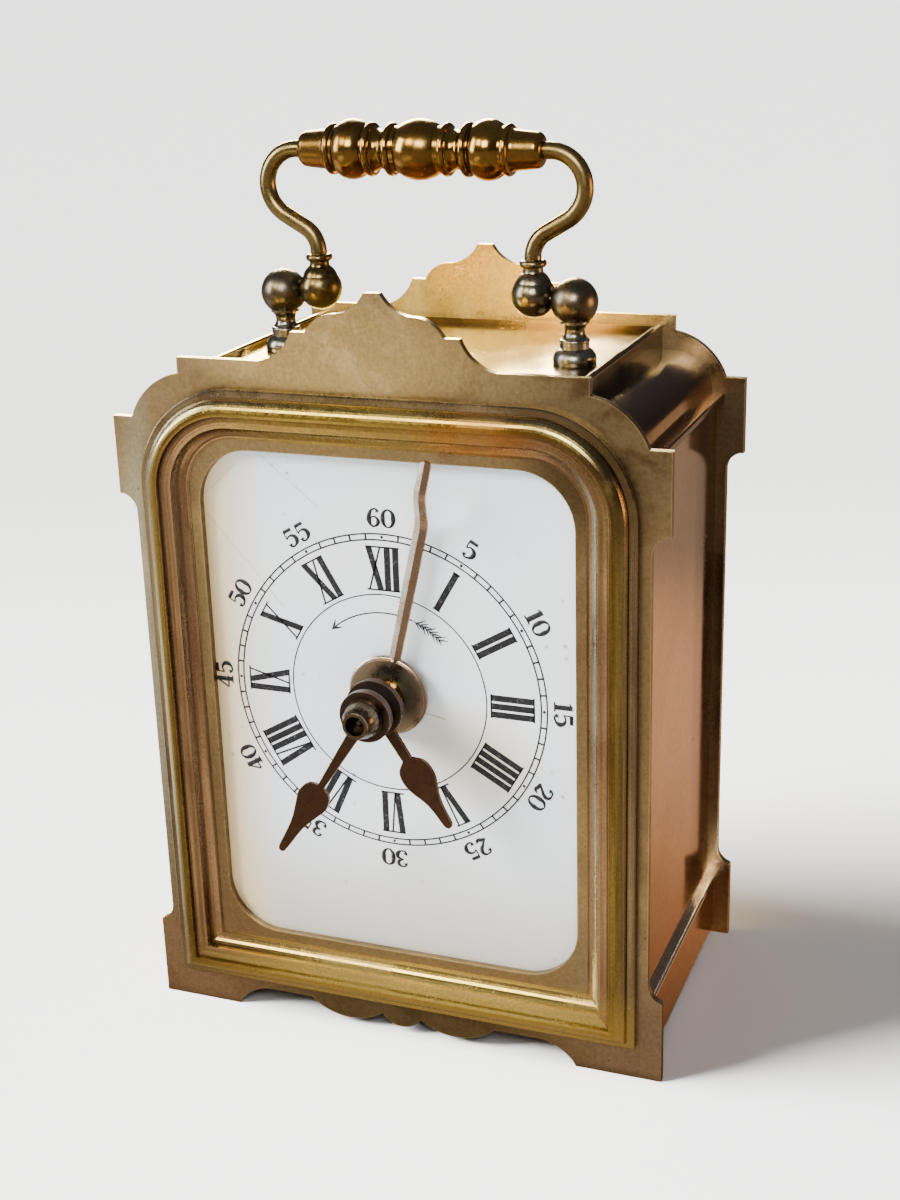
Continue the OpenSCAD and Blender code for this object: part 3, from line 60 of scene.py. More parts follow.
class ClockSizes(bpy.types.PropertyGroup):
    """Sizes of the dial printing."""

    print_x: FloatProperty(name="Print shift", description="Sideways shift of the printing on the dial",
                           default=-0.45 * MM, unit="LENGTH")
    print_z: FloatProperty(name="Print drop", description="Drop of the printing below the hands' centre",
                           default=-0.3 * MM, unit="LENGTH")
    track_outer: FloatProperty(name="Track radius", description="Outer radius of the minute track",
                               default=24.9 * MM, unit="LENGTH")
    track_inner: FloatProperty(name="Track inner radius", description="Inner radius of the minute track",
                               default=23.75 * MM, unit="LENGTH")
    hour_outer: FloatProperty(name="Hours' outer radius", description="Outer radius of the hour numerals",
                              default=22.9 * MM, unit="LENGTH")
    hour_inner: FloatProperty(name="Hours' inner radius", description="Inner radius of the hour numerals",
                              default=16.1 * MM, unit="LENGTH")
    ring_radius: FloatProperty(name="Inner ring", description="Radius of the thin inner ring",
                               default=15.5 * MM, unit="LENGTH")
    arrow_radius: FloatProperty(name="Arrow radius", description="Radius of the curved arrow",
                                default=12.7 * MM, unit="LENGTH")
    minute_radius: FloatProperty(name="Minute numerals", description="Radius of the minute numerals' feet",
                                 default=25.8 * MM, unit="LENGTH")
    minute_height: FloatProperty(name="Minute numeral height", description="Height of the minute numerals",
                                 default=2.8 * MM, unit="LENGTH")


def colour_property(name, description, default):
    return FloatVectorProperty(name=name, description=description, default=default, subtype="COLOR", size=3,
                               min=0, max=1)


class ClockColours(bpy.types.PropertyGroup):
    """Main colours of the finishes."""

    sheet: colour_property("Plate brass", "Grey tan of the cut plates", (0.30, 0.22, 0.12))
    gold: colour_property("Golden brass", "Polished, yellow stretches", (0.50, 0.34, 0.10))
    copper: colour_property("Copper", "Coppery side panels", (0.49, 0.285, 0.17))
    bronze: colour_property("Dark bronze", "Round shoulders and hub", (0.20, 0.125, 0.075))
    handle: colour_property("Handle brass", "Antique brass of the handle", (0.19, 0.105, 0.028))
    post: colour_property("Post brass", "Grey brass of the posts", (0.14, 0.135, 0.118))
    enamel: colour_property("Enamel", "White of the dial", (0.50, 0.525, 0.54))
    ink: colour_property("Ink", "Printing on the dial", (0.008, 0.008, 0.010))
    hand: colour_property("Hand brown", "Browned steel of the hands", (0.06, 0.032, 0.022))


# Where a spot starts to fade and where it ends, as shares of its radii
SPOT_CORE, SPOT_RIM = 0.45, 1.15


class Graph:
    """Short calls that add and join nodes in one tree."""

    def __init__(self, tree):
        self.tree = tree

    def add(self, kind, values=None, **settings):
        node = self.tree.nodes.new(kind)
        for key, value in settings.items():
            setattr(node, key, value)
        for key, value in (values or {}).items():
            self.feed(node.inputs[key], value)
        return node

    def feed(self, socket, value):
        if isinstance(value, bpy.types.NodeSocket):
            self.tree.links.new(value, socket)
        elif socket.type == "RGBA" and len(value) == 3:
            socket.default_value = (*value, 1)
        else:
            socket.default_value = value

    def math(self, operation, a, b=0.0, clamp=False):
        return self.add("ShaderNodeMath", {0: a, 1: b}, operation=operation, use_clamp=clamp).outputs[0]

    def ramp(self, value, low, high, to_low=0.0, to_high=1.0):
        node = self.add("ShaderNodeMapRange", {0: value, 1: low, 2: high, 3: to_low, 4: to_high},
                        interpolation_type="SMOOTHSTEP")
        return node.outputs[0]

    def blend(self, factor, a, b, mode="MIX"):
        node = self.add("ShaderNodeMix", {0: factor, 6: a, 7: b}, data_type="RGBA", blend_type=mode)
        return node.outputs[2]

    def noise(self, vector, scale, detail=3.0, rough=0.55, distortion=0.0):
        node = self.add("ShaderNodeTexNoise", {"Vector": vector, "Scale": scale, "Detail": detail,
                                               "Roughness": rough, "Distortion": distortion})
        return node.outputs["Fac"]

    def vector(self, operation, *values):
        """Outputs of one step of vector arithmetic."""
        return self.add("ShaderNodeVectorMath", dict(enumerate(values)), operation=operation).outputs

    def even(self, value):
        """One value as all three parts of a vector."""
        return self.add("ShaderNodeCombineXYZ", {0: value, 1: value, 2: value}).outputs[0]

    def place(self):
        return self.add("ShaderNodeTexCoord").outputs["Object"]

    def spot(self, centre, radii):
        """Soft mask round a place on the piece, centre and radii in millimetres."""
        moved = self.vector("SUBTRACT", self.place(), Vector(centre) * MM)[0]
        scaled = self.vector("MULTIPLY", moved, Vector([1 / (r * MM) for r in radii]))[0]
        return self.ramp(self.vector("LENGTH", scaled)["Value"], SPOT_CORE, SPOT_RIM, 1.0, 0.0)

    def group(self, group, values):
        node = self.add("ShaderNodeGroup", node_tree=group)
        for key, value in values.items():
            self.feed(node.inputs[key], value)
        return node.outputs


def new_group(name, inputs, outputs):
    group = bpy.data.node_groups.new(name, "ShaderNodeTree")
    for label, value in inputs.items():
        socket = group.interface.new_socket(label, in_out="INPUT", socket_type="NodeSocketFloat")
        socket.default_value = value
    for label in outputs:
        group.interface.new_socket(label, in_out="OUTPUT", socket_type="NodeSocketFloat")
    g = Graph(group)
    return group, g, g.add("NodeGroupInput").outputs, g.add("NodeGroupOutput").inputs


def patina_group():
    """Slow clouds, small dark pits and a fine grain, from the place on the piece."""
    group, g, given, out = new_group("patina", {"Cloud size": 90.0, "Pit size": 900.0, "Shift": 0.0},
                                     ["Clouds", "Pits", "Grain"])
    moved = g.vector("ADD", g.place(), g.even(given["Shift"]))[0]
    g.feed(out["Clouds"], g.ramp(g.noise(moved, given["Cloud size"], 4.0, 0.6, 0.6), 0.3, 0.7))
    cells = g.add("ShaderNodeTexVoronoi", {"Vector": moved, "Scale": given["Pit size"], "Randomness": 1.0})
    patches = g.ramp(g.noise(moved, g.math("MULTIPLY", given["Pit size"], 0.25), 2.0), 0.52, 0.68)
    pits = g.ramp(cells.outputs["Distance"], 0.05, 0.22, 1.0, 0.0)
    g.feed(out["Pits"], g.math("MULTIPLY", pits, patches))
    g.feed(out["Grain"], g.noise(moved, g.math("MULTIPLY", given["Pit size"], 2.5), 3.0, 0.7))
    return group


# How far round a place the recess mask looks for walls; the metals darken recesses with grime and painted shade
RECESS_DEPTH = 2.0 * MM


def edge_group():
    """How close the surface is to an outer edge, and how deep it lies in a recess, which the metals darken with
    grime and painted shade.
    """
    group, g, given, out = new_group("edge_wear_and_recess_shade", {"Width": 0.0004}, ["Edge", "Recess"])
    bevel = g.add("ShaderNodeBevel", {"Radius": given["Width"]}, samples=6)
    normal = g.add("ShaderNodeNewGeometry").outputs["Normal"]
    dot = g.vector("DOT_PRODUCT", bevel.outputs[0], normal)["Value"]
    open_sky = g.add("ShaderNodeAmbientOcclusion", {"Distance": RECESS_DEPTH}, samples=6, only_local=False)
    recess = g.ramp(open_sky.outputs["AO"], 0.9, 0.45, 0.0, 1.0)
    g.feed(out["Recess"], recess)
    edge = g.ramp(dot, 0.999, 0.9, 0.0, 1.0)
    g.feed(out["Edge"], g.math("MULTIPLY", edge, g.math("SUBTRACT", 1.0, recess, True)))
    return group


HAIRLINE_SCALE = 1500.0


def hairline_group():
    """Fine scratches, alike in all directions, for roughness and bump."""
    group, g, given, out = new_group("hairlines", {"Scale": 1.0}, ["Lines"])
    moved = g.vector("MULTIPLY", g.place(), g.even(given["Scale"]))[0]
    g.feed(out["Lines"], g.noise(moved, 1.0, 4.0, 0.7))
    return group


# Node groups and finishes that are built once and used again
GROUPS = {}
FINISHES = {}


def shared(name):
    """The shared node group of that name, built at its first use."""
    makers = {"patina": patina_group, "edge": edge_group, "hairline": hairline_group}
    if name not in GROUPS:
        GROUPS[name] = makers[name]()
    return GROUPS[name]


def new_material(name):
    material = bpy.data.materials.new(name)
    material.use_nodes = True
    tree = material.node_tree
    shader = tree.nodes["Principled BSDF"]
    return material, Graph(tree), shader


BEZEL = [[v / MM for v in corner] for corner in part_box("dial_bezel")]
BEZEL_RADIUS = 15.5
MOULDING_WIDTH = 7.6
# Drawn streaks: many to a millimetre across the moulding, few along it
STREAKS_ACROSS, STREAKS_ALONG = 4.5, 0.05

# Colour of the moulding across its section, with painted highlights on its crests and painted shade in its
# grooves:
# distance in millimetres from its outer edge, colour
BEZEL_LIGHT_AND_SHADE = [
    (0.0, (0.26, 0.20, 0.12)), (0.95, (0.34, 0.27, 0.17)), (1.15, (0.10, 0.07, 0.04)),
    (1.4, (0.30, 0.24, 0.13)), (2.3, (0.40, 0.31, 0.10)), (2.9, (0.30, 0.20, 0.055)),
    (3.5, (0.20, 0.12, 0.04)), (3.75, (0.07, 0.045, 0.028)), (4.1, (0.42, 0.27, 0.16)),
    (4.9, (0.36, 0.23, 0.135)), (5.35, (0.50, 0.34, 0.21)), (5.6, (0.18, 0.11, 0.065)),
    (6.2, (0.36, 0.23, 0.135)), (7.0, (0.42, 0.28, 0.17)), (7.4, (0.12, 0.075, 0.045)),
]


def moulding(g):
    """Stripes of painted highlight and shade along the moulding, and drawn streaks, that follow it round the
    dial.
    """
    (x0, _, z0), (x1, _, z1) = BEZEL
    axes = g.add("ShaderNodeSeparateXYZ", {0: g.place()}).outputs
    x = g.math("MULTIPLY", g.math("ABSOLUTE", axes["X"]), 1 / MM)
    z = g.math("MULTIPLY", axes["Z"], 1 / MM)
    qx = g.math("SUBTRACT", x, (x1 - x0) / 2 - BEZEL_RADIUS)
    qz = g.math("SUBTRACT", z, z1 - BEZEL_RADIUS)
    cx, cz = g.math("MAXIMUM", qx, 0.0), g.math("MAXIMUM", qz, 0.0)
    round_part = g.math("SQRT", g.math("ADD", g.math("MULTIPLY", cx, cx), g.math("MULTIPLY", cz, cz)))
    inner = g.math("MINIMUM", g.math("MAXIMUM", qx, qz), 0.0)
    depth = g.math("SUBTRACT", BEZEL_RADIUS, g.math("ADD", round_part, inner))
    depth = g.math("MINIMUM", depth, g.math("SUBTRACT", z, z0))
    bands = g.add("ShaderNodeValToRGB", {0: g.math("MULTIPLY", depth, 1 / MOULDING_WIDTH)})
    stops = bands.color_ramp.elements
    while len(stops) < len(BEZEL_LIGHT_AND_SHADE):
        stops.new(0.5)
    for stop, (position, tint) in zip(stops, BEZEL_LIGHT_AND_SHADE):
        stop.position = position / MOULDING_WIDTH
        stop.color = (*tint, 1)
    along = g.add("ShaderNodeCombineXYZ", {0: g.math("MULTIPLY", depth, STREAKS_ACROSS),
                                           1: g.math("MULTIPLY", x, STREAKS_ALONG),
                                           2: g.math("MULTIPLY", z, STREAKS_ALONG)}).outputs[0]
    streak = g.ramp(g.noise(along, 1.0, 4.0, 0.7), 0.3, 0.7, 0.7, 1.2)
    return g.blend(1.0, bands.outputs["Color"], g.even(streak), "MULTIPLY")


# How far the shared effects go in every metal: worn edges, grain, pits and scratches
EDGE_SHARE, EDGE_LIFT = 0.7, 1.35
GRAIN_DARK, GRAIN_LIGHT = 0.84, 1.12
PIT_ROUGHNESS, EDGE_POLISH = 0.25, 0.08
HAIR_HEIGHT, PIT_HEIGHT = 0.35, 0.8
BUMP_DISTANCE = 0.0001


def metal(name, bright, dull, rough, dark=0.35, edge=None, edge_width=0.35 * MM, clouds=90.0, pits=900.0,
          pit_depth=0.6, grime_and_shade=0.6, bump=0.15, shift=0.0, spots=(), painted_facing_light=(), base=None):
    """Tarnished metal: bright and dull stretches, pits, fine scratches, worn, brighter edges, and recesses
    darkened by grime and painted shade. Each spot is (centre, radii, colour, strength); most spots paint
    reflections, highlights and shade, a few give the metal's own colour. Each tint by the way a side faces is
    (axis, from, to, colour, strength) and paints light and shade. A base gives the starting colour in place of
    the bright and dull stretches."""
    material, g, shader = new_material(name)
    patina = g.group(shared("patina"), {"Cloud size": clouds, "Pit size": pits, "Shift": shift})
    wear = g.group(shared("edge"), {"Width": edge_width})
    worn = wear["Edge"]
    hair = g.group(shared("hairline"), {"Scale": HAIRLINE_SCALE})["Lines"]
    colour = base(g) if base else g.blend(patina["Clouds"], dull, bright)
    wave = g.ramp(patina["Clouds"], 0.0, 1.0, 0.7, 1.0)
    # Spots tint one place of the piece; most of them are painted reflections, highlights and shade.
    for centre, radii, tint, strength in spots:
        mask = g.math("MULTIPLY", g.spot(centre, radii), g.math("MULTIPLY", wave, strength))
        colour = g.blend(mask, colour, tint)
    # Painted light and shade: sides that face one way take a lit or shaded tint.
    if painted_facing_light:
        turn = g.add("ShaderNodeSeparateXYZ", {0: g.add("ShaderNodeNewGeometry").outputs["Normal"]})
        for axis, low, high, tint, strength in painted_facing_light:
            mask = g.math("MULTIPLY", g.ramp(turn.outputs["XYZ".index(axis)], low, high), strength)
            colour = g.blend(mask, colour, tint)
    stain_and_shade = tuple(c * dark for c in dull)
    colour = g.blend(g.math("MULTIPLY", patina["Pits"], pit_depth), colour, stain_and_shade)
    # Recesses darken towards the stain colour: grime, and painted shade.
    colour = g.blend(g.math("MULTIPLY", wear["Recess"], grime_and_shade), colour, stain_and_shade)
    grain = g.ramp(patina["Grain"], 0.3, 0.7, GRAIN_DARK, GRAIN_LIGHT)
    colour = g.blend(1.0, colour, g.even(grain), "MULTIPLY")
    rim = edge or tuple(min(1.0, c * EDGE_LIFT) for c in bright)
    colour = g.blend(g.math("MULTIPLY", worn, EDGE_SHARE), colour, rim)
    g.feed(shader.inputs["Base Color"], colour)
    shader.inputs["Metallic"].default_value = 1.0
    both = g.math("MULTIPLY", g.math("ADD", patina["Clouds"], hair), 0.5)
    level = g.ramp(both, 0.3, 0.7, rough[1], rough[0])
    level = g.math("ADD", level, g.math("MULTIPLY", patina["Pits"], PIT_ROUGHNESS), True)
    g.feed(shader.inputs["Roughness"], g.math("SUBTRACT", level, g.math("MULTIPLY", worn, EDGE_POLISH), True))
    height = g.math("SUBTRACT", g.math("MULTIPLY", hair, HAIR_HEIGHT),
                    g.math("MULTIPLY", patina["Pits"], PIT_HEIGHT))
    bumps = g.add("ShaderNodeBump", {"Strength": bump, "Distance": BUMP_DISTANCE, "Height": height})
    g.feed(shader.inputs["Normal"], bumps.outputs[0])
    return material


# Hairline cracks of the enamel: start and end [x, z], width and sway, in metres
DIAL_CRACKS = [
    ((-0.0195, 0.0931), (-0.0095, 0.0850), 0.00009, 0.0006),
    ((-0.0292, 0.0839), (-0.0162, 0.0688), 0.00009, 0.0016),
    ((-0.0291, 0.0862), (-0.0228, 0.0915), 0.00008, 0.0012),
    ((0.0052, 0.0552), (0.0086, 0.0545), 0.00016, 0.0008),
]
# Enamel tints: cream for the left edge and the patch right of the hub, partly painted reflection and shadow;
# grey for the foot, painted shade; then the specks and the crack lines.
CREAM, FOOT_SHADE = (0.50, 0.37, 0.18), (0.27, 0.245, 0.19)
SPECK, CRACK_LINE = (0.20, 0.17, 0.13), (0.30, 0.25, 0.19)


def crack(g, place, start, end, width, wobble):
    """Mask of a hairline crack between two points [x, z] on the dial, wandering a little."""
    along = Vector((end[0] - start[0], 0, end[1] - start[1]))
    length = along.length
    along.normalize()
    across = Vector((along.z, 0, -along.x))
    origin = Vector((start[0], 0, start[1]))
    rel = g.vector("SUBTRACT", place, origin)[0]
    t = g.vector("DOT_PRODUCT", rel, along)["Value"]
    d = g.vector("DOT_PRODUCT", rel, across)["Value"]
    sway = g.math("MULTIPLY", g.math("SUBTRACT", g.noise(place, 160.0, 2.0), 0.5), wobble)
    gap = g.math("ABSOLUTE", g.math("ADD", d, sway))
    line = g.ramp(gap, width * 0.4, width, 1.0, 0.0)
    ends = g.math("MULTIPLY", g.ramp(t, 0.0, length * 0.05), g.ramp(t, length * 0.9, length, 1.0, 0.0))
    return g.math("MULTIPLY", line, ends)


def enamel(colours):
    """White dial enamel with cream, greyish and bluish stretches, specks and hairline cracks.
    The grey towards the foot is painted shade, and some of the cream is painted reflection and shadow.
    """
    material, g, shader = new_material("dial_enamel")
    place = g.place()
    patina = g.group(shared("patina"), {"Cloud size": 38.0, "Pit size": 420.0, "Shift": 0.3})
    white = tuple(colours.enamel)
    colour = g.blend(patina["Clouds"], (white[0] * 0.94, white[1] * 0.97, white[2] * 1.04), white)
    split = g.add("ShaderNodeSeparateXYZ", {0: place})
    # Painted light: the cream at the left edge is partly aged enamel and partly a painted reflection of the
    # moulding, the warm patch right of the hub is a painted shadow of the hands, and the grey towards the foot
    # is painted shade.
    left = g.ramp(split.outputs["X"], -0.018, -0.030)
    low = g.ramp(split.outputs["Z"], 0.040, 0.014)
    warm = g.spot((12, DIAL_FRONT / MM, 49), (12, 9, 9))
    colour = g.blend(g.math("MULTIPLY", low, 0.8), colour, FOOT_SHADE)
    colour = g.blend(g.math("MAXIMUM", left, g.math("MULTIPLY", warm, 0.4)), colour, CREAM)
    colour = g.blend(g.math("MULTIPLY", patina["Pits"], 0.85), colour, SPECK)
    cracks = None
    for start, end, width, wobble in DIAL_CRACKS:
        mask = crack(g, place, start, end, width, wobble)
        cracks = mask if cracks is None else g.math("MAXIMUM", cracks, mask)
    colour = g.blend(g.math("MULTIPLY", cracks, 0.8), colour, CRACK_LINE)
    g.feed(shader.inputs["Base Color"], colour)
    g.feed(shader.inputs["Roughness"], g.ramp(patina["Grain"], 0.3, 0.7, 0.16, 0.26))
    shader.inputs["Coat Weight"].default_value = 0.4
    shader.inputs["Coat Roughness"].default_value = 0.08
    height = g.math("SUBTRACT", g.math("MULTIPLY", patina["Clouds"], 0.5), cracks)
    bumps = g.add("ShaderNodeBump", {"Strength": 0.08, "Distance": BUMP_DISTANCE, "Height": height})
    g.feed(shader.inputs["Normal"], bumps.outputs[0])
    return material


INK_WORN = (0.07, 0.07, 0.075)


def ink(colours):
    """Black dial printing, a little thin in places."""
    material, g, shader = new_material("dial_ink")
    wear = g.noise(g.place(), 2600.0, 3.0)
    tint = g.blend(g.ramp(wear, 0.55, 0.75), tuple(colours.ink), INK_WORN)
    g.feed(shader.inputs["Base Color"], tint)
    shader.inputs["Roughness"].default_value = 0.4
    shader.inputs["Specular IOR Level"].default_value = 0.25
    return material


def dress(material, *names):
    """Gives the CAD nodes of these names the material."""
    for name in names:
        mesh = NODES[name].data
        mesh.materials.clear()
        mesh.materials.append(material)


def clear_selection():
    if bpy.context.object and bpy.context.object.mode != "OBJECT":
        bpy.ops.object.mode_set(mode="OBJECT")
    bpy.ops.object.select_all(action="DESELECT")


def pick(*objects):
    """Selects these objects alone, the first one active."""
    clear_selection()
    for obj in objects:
        obj.select_set(True)
    bpy.context.view_layer.objects.active = objects[0]


def bake_place():
    """Bakes place, turn and scale of what is selected into the mesh."""
    bpy.ops.object.transform_apply(location=True, rotation=True, scale=True)


def settle(obj, name, body, material):
    """Names a finished piece, bakes its place into its mesh and lets it ride on its body."""
    pick(obj)
    bake_place()
    obj.name = name
    obj.data.name = name
    obj.data.materials.clear()
    obj.data.materials.append(material)
    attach(obj, body)


def join(objects):
    pick(*objects)
    bpy.ops.object.join()
    return bpy.context.object


# How far flat printing stands out of the enamel, and how far it is sunk in it
PRINT_RISE = 0.012 * MM
PRINT_SINK = 0.03 * MM


def thicken():
    """Gives the active flat drawing in x and z its thickness, most of it sunk in the enamel."""
    bpy.ops.object.mode_set(mode="EDIT")
    bpy.ops.mesh.select_all(action="SELECT")
    bpy.ops.mesh.extrude_region_move(TRANSFORM_OT_translate={"value": (0, PRINT_RISE + PRINT_SINK, 0)})
    bpy.ops.mesh.select_all(action="SELECT")
    bpy.ops.mesh.normals_make_consistent(inside=False)
    bpy.ops.object.mode_set(mode="OBJECT")


def flat_ring(radius, width, steps=160):
    """A printed ring round the print centre."""
    clear_selection()
    bpy.ops.mesh.primitive_circle_add(vertices=steps, radius=radius, fill_type="NGON")
    bpy.ops.object.mode_set(mode="EDIT")
    bpy.ops.mesh.select_all(action="SELECT")
    bpy.ops.mesh.inset(thickness=width, depth=0)
    bpy.ops.mesh.delete(type="FACE")
    bpy.ops.mesh.select_all(action="SELECT")
    bpy.ops.transform.rotate(value=math.radians(-90), orient_axis="X", orient_type="GLOBAL",
                             center_override=(0, 0, 0))
    bpy.ops.object.mode_set(mode="OBJECT")
    return bpy.context.object


def turned(obj, angle):
    """Turns a drawing clockwise about the print centre, as seen from the front."""
    obj.rotation_euler.y = angle
    return obj


def lay_on_dial(obj, name, sizes, material, rise):
    """Moves a finished drawing to its place on the dial's face."""
    pick(obj)
    bake_place()
    obj.location = (sizes.print_x, DIAL_FRONT - rise, CENTRE_Z + sizes.print_z)
    settle(obj, name, "case", material)


def print_on_dial(objects, name, sizes, material):
    """Joins flat strokes into one printed piece and lays it on the dial."""
    obj = join(objects)
    thicken()
    lay_on_dial(obj, name, sizes, material, PRINT_RISE)


# Turns a flat drawing up to face the front
UPRIGHT = (math.radians(90), 0, 0)


def stroke(x0, x1, z0, z1, width):
    """A straight stroke from its foot at x0 to its head at x1, with level ends."""
    clear_selection()
    bpy.ops.mesh.primitive_plane_add(size=1, location=(x0, 0, (z0 + z1) / 2), rotation=UPRIGHT)
    obj = bpy.context.object
    obj.scale = (width, z1 - z0, 1)
    bake_place()
    if x0 != x1:
        head = [vertex.index for vertex in obj.data.vertices if vertex.co.z > (z0 + z1) / 2]
        bpy.ops.object.mode_set(mode="EDIT")
        bpy.ops.mesh.select_mode(type="VERT")
        bpy.ops.mesh.select_all(action="DESELECT")
        bpy.ops.object.mode_set(mode="OBJECT")
        for index in head:
            obj.data.vertices[index].select = True
        bpy.ops.object.mode_set(mode="EDIT")
        bpy.ops.transform.translate(value=(x1 - x0, 0, 0))
        bpy.ops.object.mode_set(mode="OBJECT")
    return obj


# How deep a pen stroke is, as a share of its width
PEN_FLATTEN = 0.22


def pen(points, scale=1.0, place=(0, 0), smooth=True, weight=1.0):
    """A pen stroke through points [x, z, width]: a tube whose radius follows the width, pressed flat."""
    curve = bpy.data.curves.new("pen", "CURVE")
    curve.dimensions = "3D"
    curve.bevel_depth = 0.5
    curve.bevel_resolution = 1
    curve.resolution_u = 5
    curve.use_fill_caps = True
    spline = curve.splines.new("BEZIER")
    spline.bezier_points.add(len(points) - 1)
    for knot, (x, z, width) in zip(spline.bezier_points, points):
        knot.co = (x * scale + place[0], 0, z * scale + place[1])
        knot.radius = width * scale * weight
        knot.handle_left_type = knot.handle_right_type = "AUTO" if smooth else "VECTOR"
    obj = bpy.data.objects.new("pen", curve)
    bpy.context.collection.objects.link(obj)
    pick(obj)
    bpy.ops.object.convert(target="MESH")
    obj = bpy.context.object
    obj.scale = (1, PEN_FLATTEN, 1)
    bpy.ops.object.transform_apply(location=False, rotation=False, scale=True)
    return obj


ROMAN_THICK, ROMAN_THIN, ROMAN_SERIF = 0.98 * MM, 0.29 * MM, 0.25 * MM
ROMAN_ADVANCE = {"I": 1.3 * MM, "V": 2.5 * MM, "X": 2.7 * MM}
# How far the ends of slanting strokes stay inside a letter's own width
ROMAN_INSET = 0.42 * MM


def roman(text, low, high):
    """Strokes of a Roman numeral standing between two radii, centred on x."""
    thick, thin, serif, advance = ROMAN_THICK, ROMAN_THIN, ROMAN_SERIF, ROMAN_ADVANCE
    width = sum(advance[c] for c in text)
    x = -width / 2
    parts = []
    for c in text:
        mid = x + advance[c] / 2
        half = advance[c] / 2 - ROMAN_INSET
        if c == "I":
            parts.append(stroke(mid, mid, low, high, thick))
        elif c == "V":
            parts.append(stroke(mid - 0.1 * MM, mid - half, low, high, thick))
            parts.append(stroke(mid + 0.2 * MM, mid + half, low, high, thin))
        else:
            parts.append(stroke(mid + half, mid - half, low, high, thick))
            parts.append(stroke(mid - half, mid + half, low, high, thin))
        x += advance[c]
    for z in (low, high - serif):
        parts.append(stroke(0, 0, z, z + serif, width - 0.1 * MM))
    return parts


# Advance and pen strokes of the figures in a body one unit high, the points as [x, z, width]; the flag tells
# round strokes from straight ones
FIGURES = {
    "0": (0.62, [(True, [(0.31, 0.98, 0.05), (0.12, 0.82, 0.11), (0.07, 0.5, 0.17), (0.12, 0.18, 0.11),
                         (0.31, 0.02, 0.05), (0.5, 0.18, 0.11), (0.55, 0.5, 0.17), (0.5, 0.82, 0.11),
                         (0.31, 0.98, 0.05)])]),
    "1": (0.46, [(False, [(0.25, 0.98, 0.16), (0.25, 0.02, 0.16)]),
                 (False, [(0.04, 0.82, 0.05), (0.25, 0.97, 0.06)]),
                 (False, [(0.02, 0.03, 0.06), (0.46, 0.03, 0.06)])]),
    "2": (0.6, [(True, [(0.13, 0.72, 0.17), (0.09, 0.84, 0.08), (0.28, 0.97, 0.06), (0.48, 0.86, 0.13),
                        (0.48, 0.66, 0.15), (0.3, 0.4, 0.09), (0.06, 0.1, 0.06)]),
                (True, [(0.06, 0.1, 0.06), (0.25, 0.12, 0.14), (0.42, 0.06, 0.13), (0.56, 0.22, 0.04)])]),
    "3": (0.6, [(True, [(0.13, 0.76, 0.16), (0.1, 0.88, 0.07), (0.28, 0.97, 0.06), (0.46, 0.84, 0.13),
                        (0.43, 0.64, 0.11), (0.22, 0.54, 0.05)]),
                (True, [(0.22, 0.54, 0.05), (0.46, 0.46, 0.11), (0.51, 0.24, 0.16), (0.3, 0.03, 0.06),
                        (0.1, 0.1, 0.07), (0.13, 0.24, 0.16)])]),
    "4": (0.62, [(False, [(0.4, 0.98, 0.06), (0.03, 0.3, 0.06)]),
                 (False, [(0.02, 0.29, 0.06), (0.58, 0.29, 0.06)]),
                 (False, [(0.42, 0.96, 0.15), (0.42, 0.02, 0.15)]),
                 (False, [(0.24, 0.03, 0.06), (0.6, 0.03, 0.06)])]),
    "5": (0.6, [(False, [(0.1, 0.92, 0.13), (0.5, 0.92, 0.11)]),
                (False, [(0.1, 0.96, 0.05), (0.09, 0.5, 0.05)]),
                (True, [(0.09, 0.5, 0.05), (0.26, 0.61, 0.06), (0.48, 0.5, 0.13), (0.52, 0.28, 0.17),
                        (0.36, 0.05, 0.07), (0.14, 0.06, 0.07), (0.13, 0.2, 0.16)])]),
    "6": (0.6, [(True, [(0.48, 0.8, 0.15), (0.42, 0.95, 0.06), (0.24, 0.93, 0.07), (0.1, 0.66, 0.14),
                        (0.08, 0.36, 0.17), (0.18, 0.08, 0.09), (0.34, 0.04, 0.07), (0.5, 0.26, 0.15),
                        (0.42, 0.5, 0.08), (0.26, 0.55, 0.05), (0.13, 0.42, 0.06)])]),
}


# Gap between figures, and how much wider and heavier than drawn they are printed
FIGURE_GAP, FIGURE_WIDE, FIGURE_WEIGHT = 0.06, 1.2, 1.75


def figures(text, height, foot):
    """Pen strokes of a number, centred on x, its feet at the given radius."""
    gap, wide = FIGURE_GAP, FIGURE_WIDE
    width = sum(FIGURES[c][0] * wide for c in text) + gap * (len(text) - 1)
    x = -width / 2
    parts = []
    for c in text:
        advance, strokes = FIGURES[c]
        for smooth, points in strokes:
            placed = [(px * wide + x, pz, w) for px, pz, w in points]
            parts.append(pen(placed, height, (0, foot), smooth, FIGURE_WEIGHT))
        x += advance * wide + gap
    return parts


# Line of the minute track, with the ticks' and the inner ring's share of it
TRACK_LINE, TICK_SHARE, RING_SHARE = 0.24 * MM, 1.25, 0.8
DOT_RADIUS = 0.24 * MM


